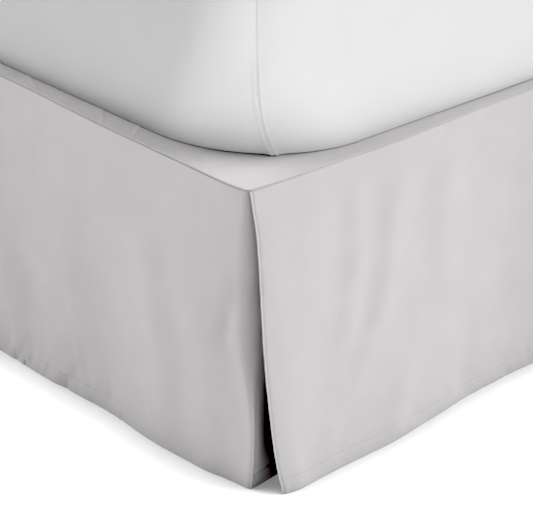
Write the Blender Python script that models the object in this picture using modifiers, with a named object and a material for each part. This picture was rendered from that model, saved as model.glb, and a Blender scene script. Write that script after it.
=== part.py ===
"""Tailored bed skirt with split corners, on the bed that it dresses.

Metres, +Z up. The foot of the bed faces -Y and the head +Y. The skirt has a deck
that lies on the bed base under the mattress, a drop on each long side and one at
the foot. Each side drop turns round its foot corner and runs on behind the foot
drop, whose free edges hang over it and swing outward towards the floor.
"""

import math
from collections import namedtuple

import bmesh
import bpy
import numpy as np

MM = 0.001

# Bed size, a queen with a 15 inch drop
BED_WIDTH = 1.524
BED_LENGTH = 2.032
DECK_TOP = 0.381
HEM_HEIGHT = 0.004

# Cloth
CLOTH = 1.5 * MM
HEM_LAYERS = 2.4 * MM
HEM_BAND = 20 * MM
EDGE_HEM = 7 * MM
STITCH_STEP = 2 * MM
GAP = 0.3 * MM
MERGE = 0.01 * MM
RETURN_LENGTH = 0.120
RETURN_INSET = 2.2 * MM
RETURN_BEND = 14 * MM
RETURN_STEP = 0.015
FREE_EDGE_TOP = 0.5 * MM
FREE_EDGE_SHIFT = 19.5 * MM
FREE_EDGE_REACH = 0.150
DECK_CORNER = 6 * MM
DECK_CORNER_STEPS = 4
DECK_EDGE_CUTS = 47
ROW_STEP = 0.030
FINE_STEP = 0.023
COARSE_STEP = 0.040
FINE_LENGTH = 0.480
TURN_STEP = 0.125

# Bed
BASE_INSET = 6.5 * MM
BASE_HEIGHT = 0.200
BASE_CORNER = 0.040
BASE_CORNER_STEPS = 5
BASE_EDGE = 0.012
BASE_EDGE_STEPS = 2
MATTRESS_HEIGHT = 0.280
MATTRESS_SIDE_INSET = 8.5 * MM
MATTRESS_FOOT_INSET = 1 * MM
MATTRESS_HEAD_INSET = 6 * MM
MATTRESS_LOWER_EDGE = 0.018
MATTRESS_UPPER_EDGE = 0.045
MATTRESS_CORNER = 0.095
MATTRESS_LOW_CORNER_ACROSS = 0.178
MATTRESS_LOW_CORNER_ALONG = 0.198
MATTRESS_CORNER_RISE = 0.220
MATTRESS_CORNER_POWER = 1.4
MATTRESS_SIDE_ROWS = (0.032, 0.06, 0.09, 0.13, 0.18)
MATTRESS_CROWN = 0.010
MATTRESS_CROWN_INSETS = (0.20, 0.42)
MATTRESS_FIRST_CROWN = 0.7
ROUND_STEPS = 4
LEAST_CORNER = 0.020
OUTLINE_STEPS = 8
LEG_TOP_RADIUS = 0.027
LEG_FOOT_RADIUS = 0.019
GLIDE_RADIUS = 0.022
GLIDE_HEIGHT = 0.010
LEG_SIDES = 24
LEG_INSET_X = 0.130
LEG_INSET_Y = 0.150

# A place along a drop, in mm from its corner: how far the cloth stands out from
# the bed's side at the seam and at the hem.
Station = namedtuple("Station", "along seam_out hem_out")

LEFT_STATIONS = (
    Station(0, 1, 1),
    Station(30, 4.5, 4),
    Station(60, 4.8, 9),
    Station(100, 4.3, 10.5),
    Station(150, 3.9, 10.5),
    Station(185, 3.8, 8),
    Station(225, 3.6, 3.5),
    Station(265, 2.9, 1.3),
    Station(331, 0.4, 2),
    Station(369, -1.4, 2.5),
    Station(412, -2.7, 1),
    Station(470, -3, -1),
    Station(640, 0, 4),
    Station(860, 3, 9),
    Station(1060, 1, 2),
    Station(1290, 2, 7),
    Station(1500, 3, 1),
    Station(1720, 1, 6),
    Station(1900, 2, 9),
    Station(2032, 1, 4),
)
RIGHT_STATIONS = (
    Station(0, 1, 1),
    Station(40, 4, 6),
    Station(90, 5, 11),
    Station(150, 5, 9),
    Station(215, 4, 3),
    Station(300, 2, 2),
    Station(400, 0, 5),
    Station(540, 1, 8),
    Station(740, 3, 2),
    Station(930, 2, 6),
    Station(1130, 1, 1),
    Station(1360, 3, 7),
    Station(1580, 2, 3),
    Station(1800, 1, 8),
    Station(2032, 1, 3),
)
FOOT_STATIONS = (
    Station(0, 1, 35.5),
    Station(15, 2, 38.5),
    Station(30, 3, 40),
    Station(52, 4, 38.5),
    Station(85, 5, 35.5),
    Station(147, 5.5, 32),
    Station(218, 7.5, 26),
    Station(296, 5, 14.5),
    Station(379, 1, 1.5),
    Station(465, 1, -5),
    Station(580, 2, 1),
    Station(700, 3, 7),
    Station(830, 1, 3),
    Station(950, 2, -3),
    Station(1060, 1, -2),
    Station(1150, 3, 6),
    Station(1230, 6, 17),
    Station(1310, 7, 25),
    Station(1390, 6, 31),
    Station(1445, 5, 35),
    Station(1492, 4, 39),
    Station(1508, 2, 36),
    Station(1524, 1, 32),
)

# A soft fold that runs down the cloth, in mm: where it is at its upper and its
# lower end, along the drop and above the floor, how wide and how deep it is. A
# depth above zero stands out as a ridge, and one below zero is a trough.
Fold = namedtuple(
    "Fold", "upper_along upper_height lower_along lower_height half_width depth"
)

LEFT_FOLDS = (
    Fold(312, 240, 314, 100, 36, 2.4),
    Fold(148, 250, 146, 80, 30, 3.0),
    Fold(234, 230, 242, 60, 36, -1.2),
    Fold(72, 240, 70, 60, 28, 1.0),
    Fold(408, 150, 376, 40, 34, -2.2),
    Fold(476, 260, 462, 80, 38, 1.8),
    Fold(600, 280, 640, 60, 48, 2.6),
    Fold(770, 250, 745, 50, 44, -2.4),
    Fold(905, 300, 930, 60, 50, 2.8),
    Fold(1080, 240, 1050, 40, 46, -2.6),
    Fold(1235, 290, 1260, 70, 52, 2.4),
    Fold(1400, 260, 1370, 40, 44, -2.2),
    Fold(1545, 280, 1580, 60, 50, 2.6),
    Fold(1710, 240, 1690, 40, 46, -2.4),
    Fold(1860, 300, 1895, 60, 44, 2.8),
    Fold(1985, 280, 1975, 50, 34, -1.8),
)
RIGHT_FOLDS = (
    Fold(24, 300, 52, 60, 24, -2.0),
    Fold(104, 260, 90, 50, 32, 1.8),
    Fold(176, 250, 196, 60, 36, -2.4),
    Fold(286, 280, 262, 50, 40, 2.2),
    Fold(402, 240, 428, 40, 44, -2.2),
    Fold(540, 300, 520, 60, 48, 2.6),
    Fold(690, 250, 722, 50, 46, -2.6),
    Fold(860, 280, 835, 60, 50, 2.4),
    Fold(1010, 240, 1040, 40, 46, -2.4),
    Fold(1190, 300, 1165, 60, 52, 2.8),
    Fold(1345, 250, 1375, 50, 44, -2.2),
    Fold(1500, 280, 1480, 60, 48, 2.4),
    Fold(1655, 240, 1690, 40, 46, -2.6),
    Fold(1830, 290, 1800, 60, 48, 2.6),
    Fold(1960, 260, 1975, 50, 34, -1.8),
)
FOOT_FOLDS = (
    Fold(157, 350, 154, 250, 20, 2.3),
    Fold(150, 240, 138, 165, 18, 1.8),
    Fold(225, 325, 199, 195, 20, 2.3),
    Fold(190, 180, 154, 100, 20, 2.2),
    Fold(310, 340, 304, 185, 28, 2.1),
    Fold(420, 300, 412, 110, 34, -1.8),
    Fold(352, 120, 344, 10, 26, -1.8),
    Fold(122, 110, 96, 20, 24, 1.6),
    Fold(236, 80, 206, 10, 24, 1.6),
    Fold(84, 330, 70, 120, 30, 0.8),
    Fold(520, 280, 505, 60, 40, 2.0),
    Fold(640, 260, 660, 50, 44, -2.2),
    Fold(760, 300, 742, 60, 46, 2.2),
    Fold(885, 250, 905, 40, 42, -2.0),
    Fold(1010, 290, 990, 60, 40, 1.8),
    Fold(1120, 330, 1150, 50, 34, -1.6),
    Fold(1200, 330, 1262, 50, 34, 1.8),
    Fold(1290, 340, 1318, 80, 26, -1.4),
    Fold(1352, 330, 1372, 120, 26, 1.4),
    Fold(1410, 200, 1440, 20, 26, -1.5),
    Fold(1452, 340, 1462, 60, 26, 1.4),
)

# The free edge's way down from the seam to the hem, as shares of the whole
Swing = namedtuple("Swing", "down share")

FREE_EDGE_SWING = (
    Swing(0.00, 0.00),
    Swing(0.07, 0.10),
    Swing(0.13, 0.19),
    Swing(0.23, 0.27),
    Swing(0.40, 0.35),
    Swing(0.56, 0.44),
    Swing(0.72, 0.58),
    Swing(0.88, 0.76),
    Swing(0.95, 0.88),
    Swing(1.00, 1.00),
)
SWING_REACH = 0.140
PLAIN_LEAN_POWER = 1.25

# How a fold fades out past its two ends, as shares of its height, and how far below
# the seam the cloth is still held
FADE_ABOVE = 1.35
FADE_BELOW = 0.45
FADE_LENGTH = 0.55
HELD_LENGTH = 0.06

# How a side drop turns its corner, by the share of the way down: the radius of the
# turn in mm, how far forward of the bed's foot it stands in mm, and how far the return
# behind it swings in under the bed in degrees, which it can only do below the base
Turn = namedtuple("Turn", "down radius forward swing")

CORNER_TURN = (
    Turn(0.00, 6, 0, 0),
    Turn(0.14, 17, 0, 0),
    Turn(0.32, 25, 0, 0),
    Turn(0.54, 21, 1, 0),
    Turn(0.64, 12, 4, 18),
    Turn(0.78, 5, 8, 38),
    Turn(0.88, 4, 8, 38),
    Turn(0.95, 4, 6, 24),
    Turn(1.00, 4, 4, 10),
)

# Material name, colour as linear red, green and blue, roughness
Finish = namedtuple("Finish", "name colour roughness")

SKIRT_CLOTH = Finish("grey brushed microfibre cloth", (0.50, 0.50, 0.495), 0.85)
MATTRESS_COVER = Finish("white knitted mattress cover", (0.80, 0.80, 0.79), 0.85)
BASE_COVER = Finish("pale woven base cover", (0.60, 0.59, 0.57), 0.85)
LEG_WOOD = Finish("black lacquered beech", (0.02, 0.02, 0.02), 0.40)
GLIDE_PLASTIC = Finish("dark grey moulded polyethylene", (0.05, 0.05, 0.05), 0.50)


def clear_scene():
    for old in list(bpy.data.objects):
        bpy.data.objects.remove(old, do_unlink=True)


def make_collection(name):
    made = bpy.data.collections.new(name)
    bpy.context.scene.collection.children.link(made)
    return made


def make_material(finish):
    material = bpy.data.materials.new(finish.name)
    material.use_nodes = True
    shader = material.node_tree.nodes["Principled BSDF"]
    shader.inputs["Base Color"].default_value = (*finish.colour, 1.0)
    shader.inputs["Roughness"].default_value = finish.roughness
    material.diffuse_color = (*finish.colour, 1.0)
    return material


def make_object(name, bm, finish, collection):
    bmesh.ops.recalc_face_normals(bm, faces=bm.faces)
    mesh = bpy.data.meshes.new(name)
    bm.to_mesh(mesh)
    bm.free()
    mesh.materials.append(make_material(finish))
    made = bpy.data.objects.new(name, mesh)
    collection.objects.link(made)
    return made


def smooth_step(share):
    share = min(max(share, 0.0), 1.0)
    return share * share * (3 - 2 * share)


def between(table, key, value, at):
    """The value of a table's column at a place between its rows, on one smooth curve."""
    keys = np.array([getattr(row, key) for row in table], float)
    values = np.array([getattr(row, value) for row in table], float)
    slopes = np.gradient(values, keys)
    row = min(max(int(np.searchsorted(keys, at)) - 1, 0), len(keys) - 2)
    width = keys[row + 1] - keys[row]
    share = min(max((at - keys[row]) / width, 0.0), 1.0)
    left = 1 - share
    start = values[row] * (1 + 2 * share) + slopes[row] * width * share
    end = values[row + 1] * (3 - 2 * share) - slopes[row + 1] * width * left
    return float(start * left**2 + end * share**2)


def fold_out(folds, along, height):
    """How far the folds move the cloth outward at one place, in metres."""
    total = 0.0
    for fold in folds:
        rise = (height / MM - fold.lower_height) / (fold.upper_height - fold.lower_height)
        centre = fold.lower_along + (fold.upper_along - fold.lower_along) * rise
        across = (along / MM - centre) / fold.half_width
        fade = smooth_step((FADE_ABOVE - rise) / FADE_LENGTH)
        fade *= smooth_step((rise + FADE_BELOW) / FADE_LENGTH)
        total += fold.depth * MM * math.exp(-across * across) * fade
    return total


def held_at_seam(height):
    """Folds die out towards the seam, where the cloth is sewn to the deck."""
    return smooth_step((DECK_TOP - height) / HELD_LENGTH)


def steps_between(start, end, step):
    count = max(1, round((end - start) / step))
    return [start + (end - start) * i / count for i in range(1, count + 1)]


def row_heights():
    """Heights above the floor of the cloth's rows, with a pair at the hem's stitching."""
    stitch = HEM_HEIGHT + HEM_BAND
    top = DECK_TOP - CLOTH - GAP
    rows = [HEM_HEIGHT, stitch, stitch + STITCH_STEP]
    return rows + steps_between(stitch + STITCH_STEP, top, ROW_STEP)


def foot_columns():
    hem = [0.0, EDGE_HEM, EDGE_HEM + STITCH_STEP]
    left = hem + steps_between(hem[-1], FINE_LENGTH, FINE_STEP)
    right = [BED_WIDTH - along for along in reversed(left)]
    middle = steps_between(left[-1], right[0], COARSE_STEP)
    return left + middle[:-1] + right


def side_columns():
    """Distances along the wall from the foot corner. Below zero is the corner's turn
    and, past that, the return behind the foot drop."""
    end = -1.0 - RETURN_LENGTH
    back = [end] + steps_between(end, -1.0, RETURN_STEP)
    corner = steps_between(-1.0, 0.0, TURN_STEP)
    wall = steps_between(0.0, FINE_LENGTH, FINE_STEP)
    far_hem = BED_LENGTH - EDGE_HEM - STITCH_STEP
    far = steps_between(FINE_LENGTH, far_hem, COARSE_STEP)
    return back + corner + wall + far + [BED_LENGTH - EDGE_HEM, BED_LENGTH]


def foot_place(along, height):
    """A point of the foot drop's outer face."""
    down = (DECK_TOP - height) / (DECK_TOP - HEM_HEIGHT)
    swing = between(FREE_EDGE_SWING, "down", "share", down)
    from_edge = min(along, BED_WIDTH - along)
    near = math.exp(-((from_edge / SWING_REACH) ** 2))
    share = swing * near + down**PLAIN_LEAN_POWER * (1 - near)
    seam_out = between(FOOT_STATIONS, "along", "seam_out", along / MM) * MM
    hem_out = between(FOOT_STATIONS, "along", "hem_out", along / MM) * MM
    out = seam_out * (1 - share) + hem_out * share
    out += fold_out(FOOT_FOLDS, along, height) * held_at_seam(height)
    inward = FREE_EDGE_TOP + FREE_EDGE_SHIFT * swing
    inward *= max(0.0, 1 - from_edge / FREE_EDGE_REACH) ** 2
    x = along + (inward if along < BED_WIDTH / 2 else -inward)
    return x - BED_WIDTH / 2, -BED_LENGTH / 2 - out


def side_place(along, height, stations, folds):
    """A point of the left drop's outer face."""
    down = (DECK_TOP - height) / (DECK_TOP - HEM_HEIGHT)
    radius = between(CORNER_TURN, "down", "radius", down) * MM
    forward = between(CORNER_TURN, "down", "forward", down) * MM
    wall_along = max(along, 0.0)
    seam_out = between(stations, "along", "seam_out", wall_along / MM) * MM
    hem_out = between(stations, "along", "hem_out", wall_along / MM) * MM
    out = seam_out + (hem_out - seam_out) * down**PLAIN_LEAN_POWER
    out += fold_out(folds, wall_along, height) * held_at_seam(height)
    centre_x = -BED_WIDTH / 2 + radius
    centre_y = -BED_LENGTH / 2 + RETURN_INSET + radius - forward
    if along >= 0:
        stretch = (BED_LENGTH / 2 - centre_y) / BED_LENGTH
        return centre_x - radius - out, centre_y + along * stretch
    if along >= -1:
        angle = -along * math.pi / 2
        reach = radius + out * (1 + along)
        return centre_x - reach * math.cos(angle), centre_y - reach * math.sin(angle)
    past = -along - 1
    bend = math.hypot(past, RETURN_BEND) - RETURN_BEND
    swing = math.radians(between(CORNER_TURN, "down", "swing", down))
    return centre_x + past - (1 - math.cos(swing)) * bend, centre_y - radius + math.sin(swing) * bend


def cloth_sheet(name, columns, rows, place, edges, collection):
    """A hanging sheet of cloth, from a grid whose points are put in place one by one."""
    bm = bmesh.new()
    last_column = len(columns) - 1
    last_row = len(rows) - 1
    bmesh.ops.create_grid(bm, x_segments=last_column, y_segments=last_row, size=0.5)
    bm.verts.index_update()
    hemmed = []
    for vert in bm.verts:
        column = round((vert.co.x + 0.5) * last_column)
        row = round((vert.co.y + 0.5) * last_row)
        x, y = place(columns[column], rows[row])
        vert.co = (x, y, rows[row])
        if row <= 1 or column in edges:
            hemmed.append(vert.index)
    made = make_object(name, bm, SKIRT_CLOTH, collection)
    thicken(made, hemmed)
    return made


def thicken(made, hemmed):
    """Gives the sheet its thickness, more of it where a hem is folded over."""
    group = made.vertex_groups.new(name="layers")
    group.add(range(len(made.data.vertices)), CLOTH / HEM_LAYERS, "REPLACE")
    group.add(hemmed, 1.0, "REPLACE")
    solidify = made.modifiers.new("cloth thickness", "SOLIDIFY")
    solidify.thickness = HEM_LAYERS
    solidify.vertex_group = group.name
    solidify.thickness_vertex_group = 0.0
    solidify.offset = -1.0
    solidify.use_even_offset = True


def face_outward(made):
    """Turns the sheet's faces to look away from the bed's middle."""
    faces = made.data.polygons
    total = sum(f.normal.x * f.center.x + f.normal.y * f.center.y for f in faces)
    if total < 0:
        made.data.flip_normals()


def make_drops(collection):
    rows = row_heights()
    columns = foot_columns()
    last = len(columns) - 1
    foot = cloth_sheet("drop_foot", columns, rows, foot_place, {0, 1, last - 1, last}, collection)
    face_outward(foot)
    sides = (
        ("drop_left", 1, LEFT_STATIONS, LEFT_FOLDS),
        ("drop_right", -1, RIGHT_STATIONS, RIGHT_FOLDS),
    )
    columns = side_columns()
    last = len(columns) - 1
    for name, side, stations, folds in sides:

        def place(along, height, side=side, stations=stations, folds=folds):
            x, y = side_place(along, height, stations, folds)
            return side * x, y

        drop = cloth_sheet(name, columns, rows, place, {last - 1, last}, collection)
        face_outward(drop)


def slab(width, length, height, corner, segments):
    """A closed slab, centred over the origin, with its upright edges rounded."""
    bm = bmesh.new()
    bmesh.ops.create_cube(bm, size=1.0)
    bmesh.ops.scale(bm, vec=(width, length, height), verts=bm.verts)
    upright = [edge for edge in bm.edges if abs(edge.verts[0].co.z - edge.verts[1].co.z) > height / 2]
    bmesh.ops.bevel(
        bm, geom=upright, offset=corner, segments=segments, profile=0.5, affect="EDGES", material=-1
    )
    return bm


def round_rim(bm, height, offset, segments):
    """Rounds the edges of the flat face at one height."""
    rim = [
        edge
        for edge in bm.edges
        if all(abs(vert.co.z - height) < MERGE for vert in edge.verts)
        and any(abs(face.normal.z) < 0.5 for face in edge.link_faces)
    ]
    bmesh.ops.bevel(
        bm, geom=rim, offset=offset, segments=segments, profile=0.5, affect="EDGES", material=-1
    )
    bmesh.ops.recalc_face_normals(bm, faces=bm.faces)


def make_deck(collection):
    bm = slab(BED_WIDTH, BED_LENGTH, CLOTH, DECK_CORNER, DECK_CORNER_STEPS)
    long_edges = [edge for edge in bm.edges if edge.calc_length() > BED_WIDTH / 2]
    bmesh.ops.subdivide_edges(bm, edges=long_edges, cuts=DECK_EDGE_CUTS)
    for vert in bm.verts:
        x, y = vert.co.x, vert.co.y
        along_x = (x + BED_WIDTH / 2) / MM
        along_y = (y + BED_LENGTH / 2) / MM
        if y < -BED_LENGTH / 2 + MM:
            vert.co.y -= between(FOOT_STATIONS, "along", "seam_out", along_x) * MM
        if x < -BED_WIDTH / 2 + MM:
            vert.co.x -= between(LEFT_STATIONS, "along", "seam_out", along_y) * MM
        if x > BED_WIDTH / 2 - MM:
            vert.co.x += between(RIGHT_STATIONS, "along", "seam_out", along_y) * MM
        vert.co.z += DECK_TOP - CLOTH / 2
    return make_object("skirt_deck", bm, SKIRT_CLOTH, collection)


def base_top():
    return DECK_TOP - CLOTH - GAP


def make_base(collection):
    width = BED_WIDTH - 2 * BASE_INSET
    length = BED_LENGTH - 2 * BASE_INSET
    bm = slab(width, length, BASE_HEIGHT, BASE_CORNER, BASE_CORNER_STEPS)
    round_rim(bm, BASE_HEIGHT / 2, BASE_EDGE, BASE_EDGE_STEPS)
    round_rim(bm, -BASE_HEIGHT / 2, BASE_EDGE, BASE_EDGE_STEPS)
    bmesh.ops.translate(bm, vec=(0, 0, base_top() - BASE_HEIGHT / 2), verts=bm.verts)
    return make_object("bed_base", bm, BASE_COVER, collection)


def rounded_outline(half_x, half_y, corner_x, corner_y):
    """Points once round a rectangle with rounded corners, back to the first."""
    points = []
    for quarter, (side_x, side_y) in enumerate(((1, 1), (-1, 1), (-1, -1), (1, -1))):
        for step in range(OUTLINE_STEPS + 1):
            angle = (quarter + step / OUTLINE_STEPS) * math.pi / 2
            x = side_x * (half_x - corner_x) + corner_x * math.cos(angle)
            y = side_y * (half_y - corner_y) + corner_y * math.sin(angle)
            points.append((x, y))
    return points + points[:1]


def mattress_profile():
    """The side's way up: how far in from the outline, and how high, row by row."""
    low, high = MATTRESS_LOWER_EDGE, MATTRESS_UPPER_EDGE
    quarter = [step / ROUND_STEPS * math.pi / 2 for step in range(ROUND_STEPS + 1)]
    lower = [(low * (1 - math.sin(a)), low * (1 - math.cos(a))) for a in quarter]
    side = [(0.0, height) for height in MATTRESS_SIDE_ROWS]
    top = MATTRESS_HEIGHT - high
    upper = [(high * (1 - math.cos(a)), top + high * math.sin(a)) for a in quarter]
    first, last = MATTRESS_CROWN_INSETS
    crown = [(first, MATTRESS_HEIGHT + MATTRESS_FIRST_CROWN * MATTRESS_CROWN)]
    crown += [(last, MATTRESS_HEIGHT + MATTRESS_CROWN)]
    return lower + side + upper + crown


def mattress_outline(inset, height, half_x, half_y):
    share = 1 - max(0.0, 1 - height / MATTRESS_CORNER_RISE) ** MATTRESS_CORNER_POWER
    across = MATTRESS_LOW_CORNER_ACROSS + (MATTRESS_CORNER - MATTRESS_LOW_CORNER_ACROSS) * share
    along = MATTRESS_LOW_CORNER_ALONG + (MATTRESS_CORNER - MATTRESS_LOW_CORNER_ALONG) * share
    return rounded_outline(
        half_x - inset, half_y - inset, max(across - inset, LEAST_CORNER), max(along - inset, LEAST_CORNER)
    )


def make_mattress(collection):
    half_x = BED_WIDTH / 2 - MATTRESS_SIDE_INSET
    half_y = (BED_LENGTH - MATTRESS_FOOT_INSET - MATTRESS_HEAD_INSET) / 2
    shift_y = (MATTRESS_FOOT_INSET - MATTRESS_HEAD_INSET) / 2
    profile = mattress_profile()
    outlines = [mattress_outline(inset, height, half_x, half_y) for inset, height in profile]
    columns, rows = len(outlines[0]) - 1, len(profile) - 1
    bm = bmesh.new()
    bmesh.ops.create_grid(bm, x_segments=columns, y_segments=rows, size=0.5)
    for vert in bm.verts:
        column = round((vert.co.x + 0.5) * columns)
        row = round((vert.co.y + 0.5) * rows)
        x, y = outlines[row][column]
        vert.co = (x, y + shift_y, DECK_TOP + GAP + profile[row][1])
    bmesh.ops.remove_doubles(bm, verts=bm.verts, dist=MERGE)
    bmesh.ops.holes_fill(bm, edges=bm.edges, sides=0)
    return make_object("mattress", bm, MATTRESS_COVER, collection)


def make_cone(name, foot_radius, top_radius, foot_z, top_z, place, finish, collection):
    bm = bmesh.new()
    height = top_z - foot_z
    bmesh.ops.create_cone(
        bm,
        cap_ends=True,
        segments=LEG_SIDES,
        radius1=foot_radius,
        radius2=top_radius,
        depth=height,
    )
    bmesh.ops.translate(bm, vec=(*place, foot_z + height / 2), verts=bm.verts)
    return make_object(name, bm, finish, collection)


def make_legs(collection):
    leg_top = base_top() - BASE_HEIGHT - GAP
    across = (-BED_WIDTH / 2 + LEG_INSET_X, 0.0, BED_WIDTH / 2 - LEG_INSET_X)
    along = (-BED_LENGTH / 2 + LEG_INSET_Y, BED_LENGTH / 2 - LEG_INSET_Y)
    number = 0
    for y in along:
        for x in across:
            number += 1
            make_cone(
                f"glide_{number}", GLIDE_RADIUS, GLIDE_RADIUS, 0.0, GLIDE_HEIGHT,
                (x, y), GLIDE_PLASTIC, collection,
            )
            make_cone(
                f"leg_{number}", LEG_FOOT_RADIUS, LEG_TOP_RADIUS, GLIDE_HEIGHT + GAP, leg_top,
                (x, y), LEG_WOOD, collection,
            )


def centre_on_floor(collection):
    """Puts the origin on the floor, under the middle of everything."""
    graph = bpy.context.evaluated_depsgraph_get()
    corners = []
    for made in collection.objects:
        corners += [made.matrix_world @ vert.co for vert in made.evaluated_get(graph).data.vertices]
    middle_x = (min(p.x for p in corners) + max(p.x for p in corners)) / 2
    middle_y = (min(p.y for p in corners) + max(p.y for p in corners)) / 2
    for made in collection.objects:
        for vert in made.data.vertices:
            vert.co.x -= middle_x
            vert.co.y -= middle_y


def main():
    clear_scene()
    collection = make_collection("bed skirt on a bed")
    make_base(collection)
    make_legs(collection)
    make_deck(collection)
    make_drops(collection)
    make_mattress(collection)
    centre_on_floor(collection)


main()
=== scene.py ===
"""Looks of a tailored grey bed skirt on the bed that it dresses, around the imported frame."""

import math
from collections import namedtuple

import bmesh
import bpy
import numpy as np
from bpy.props import FloatProperty, FloatVectorProperty, PointerProperty
from mathutils import Matrix, Vector


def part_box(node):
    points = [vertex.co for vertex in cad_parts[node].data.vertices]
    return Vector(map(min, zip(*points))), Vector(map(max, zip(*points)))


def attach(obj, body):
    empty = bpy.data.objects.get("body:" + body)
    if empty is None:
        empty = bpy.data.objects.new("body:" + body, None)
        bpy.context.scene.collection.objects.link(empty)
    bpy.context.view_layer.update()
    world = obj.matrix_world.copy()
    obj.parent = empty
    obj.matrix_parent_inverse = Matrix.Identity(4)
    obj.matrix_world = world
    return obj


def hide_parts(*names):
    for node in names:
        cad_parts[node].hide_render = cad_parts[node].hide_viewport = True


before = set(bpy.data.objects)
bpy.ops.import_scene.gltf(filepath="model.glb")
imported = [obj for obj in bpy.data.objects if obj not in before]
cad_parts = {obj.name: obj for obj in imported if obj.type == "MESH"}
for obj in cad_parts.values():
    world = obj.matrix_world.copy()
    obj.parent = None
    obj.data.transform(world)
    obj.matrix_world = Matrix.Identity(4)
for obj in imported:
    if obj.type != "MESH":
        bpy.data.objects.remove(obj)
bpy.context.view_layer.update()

bl_info = {
    "name": "Tailored bed skirt",
    "version": (1, 0, 0),
    "blender": (4, 5, 0),
    "location": "View3D > Sidebar > Bed skirt",
    "description": "Builds the cloth, the bed and the stage of a tailored bed skirt",
    "category": "Object",
}

MM = 0.001

# Places taken from the frame
BASE_LOW, BASE_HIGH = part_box("bed_base")
MATTRESS_LOW, MATTRESS_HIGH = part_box("mattress")
HEM_BOTTOM = 0.5 * MM
BASE_INSET = 6.5 * MM
LEFT_X = BASE_LOW.x - BASE_INSET
RIGHT_X = BASE_HIGH.x + BASE_INSET
FOOT_Y = BASE_LOW.y - BASE_INSET
HEAD_Y = BASE_HIGH.y + BASE_INSET
BED_WIDTH = RIGHT_X - LEFT_X
BED_LENGTH = HEAD_Y - FOOT_Y
DECK_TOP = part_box("skirt_deck")[1].z
DROP_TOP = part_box("drop_left")[1].z
HEM_HEIGHT = 4 * MM

# The cut of the drops
RETURN_LENGTH = 0.120
RETURN_INSET = 2.2 * MM
RETURN_BEND = 14 * MM
FREE_EDGE_TOP = 0.5 * MM
FREE_EDGE_SHIFT = 19.5 * MM
FREE_EDGE_REACH = 0.150
SWING_REACH = 0.140
LEAN_POWER = 1.25
DECK_CORNER = 6 * MM

# A place along a drop, in mm from its foot corner: how far the cloth stands out
# from the bed's side at the seam and at the hem.
Station = namedtuple("Station", "along seam_out hem_out")

LEFT_STATIONS = (
    Station(0, 1, 1),
    Station(30, 4.5, 4),
    Station(60, 4.8, 9),
    Station(100, 4.3, 10.5),
    Station(150, 3.9, 10.5),
    Station(185, 3.8, 8),
    Station(225, 3.6, 3.5),
    Station(265, 2.9, 1.3),
    Station(331, 0.4, 2),
    Station(369, -1.4, 2.5),
    Station(412, -2.7, 1),
    Station(470, -3, -1),
    Station(640, 0, 4),
    Station(860, 3, 9),
    Station(1060, 1, 2),
    Station(1290, 2, 7),
    Station(1500, 3, 1),
    Station(1720, 1, 6),
    Station(1900, 2, 9),
    Station(2032, 1, 4),
)
RIGHT_STATIONS = (
    Station(0, 1, 1),
    Station(40, 4, 6),
    Station(90, 5, 11),
    Station(150, 5, 9),
    Station(215, 4, 3),
    Station(300, 2, 2),
    Station(400, 0, 5),
    Station(540, 1, 8),
    Station(740, 3, 2),
    Station(930, 2, 6),
    Station(1130, 1, 1),
    Station(1360, 3, 7),
    Station(1580, 2, 3),
    Station(1800, 1, 8),
    Station(2032, 1, 3),
)
FOOT_STATIONS = (
    Station(0, 1, 35.5),
    Station(15, 2, 38.5),
    Station(30, 3, 40),
    Station(52, 4, 38.5),
    Station(85, 5, 35.5),
    Station(147, 5.5, 32),
    Station(218, 7.5, 26),
    Station(296, 5, 14.5),
    Station(379, 1, 1.5),
    Station(465, 1, -5),
    Station(580, 2, 1),
    Station(700, 3, 7),
    Station(830, 1, 3),
    Station(950, 2, -3),
    Station(1060, 1, -2),
    Station(1150, 3, 6),
    Station(1230, 6, 17),
    Station(1310, 7, 25),
    Station(1390, 6, 31),
    Station(1445, 5, 35),
    Station(1492, 4, 39),
    Station(1508, 2, 36),
    Station(1524, 1, 32),
)

# A soft fold that runs down the cloth, in mm: where it is at its upper and its
# lower end, along the drop and above the floor, how wide and how deep it is. A
# depth above zero stands out as a ridge, and one below zero is a trough.
Fold = namedtuple(
    "Fold", "upper_along upper_height lower_along lower_height half_width depth"
)

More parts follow.
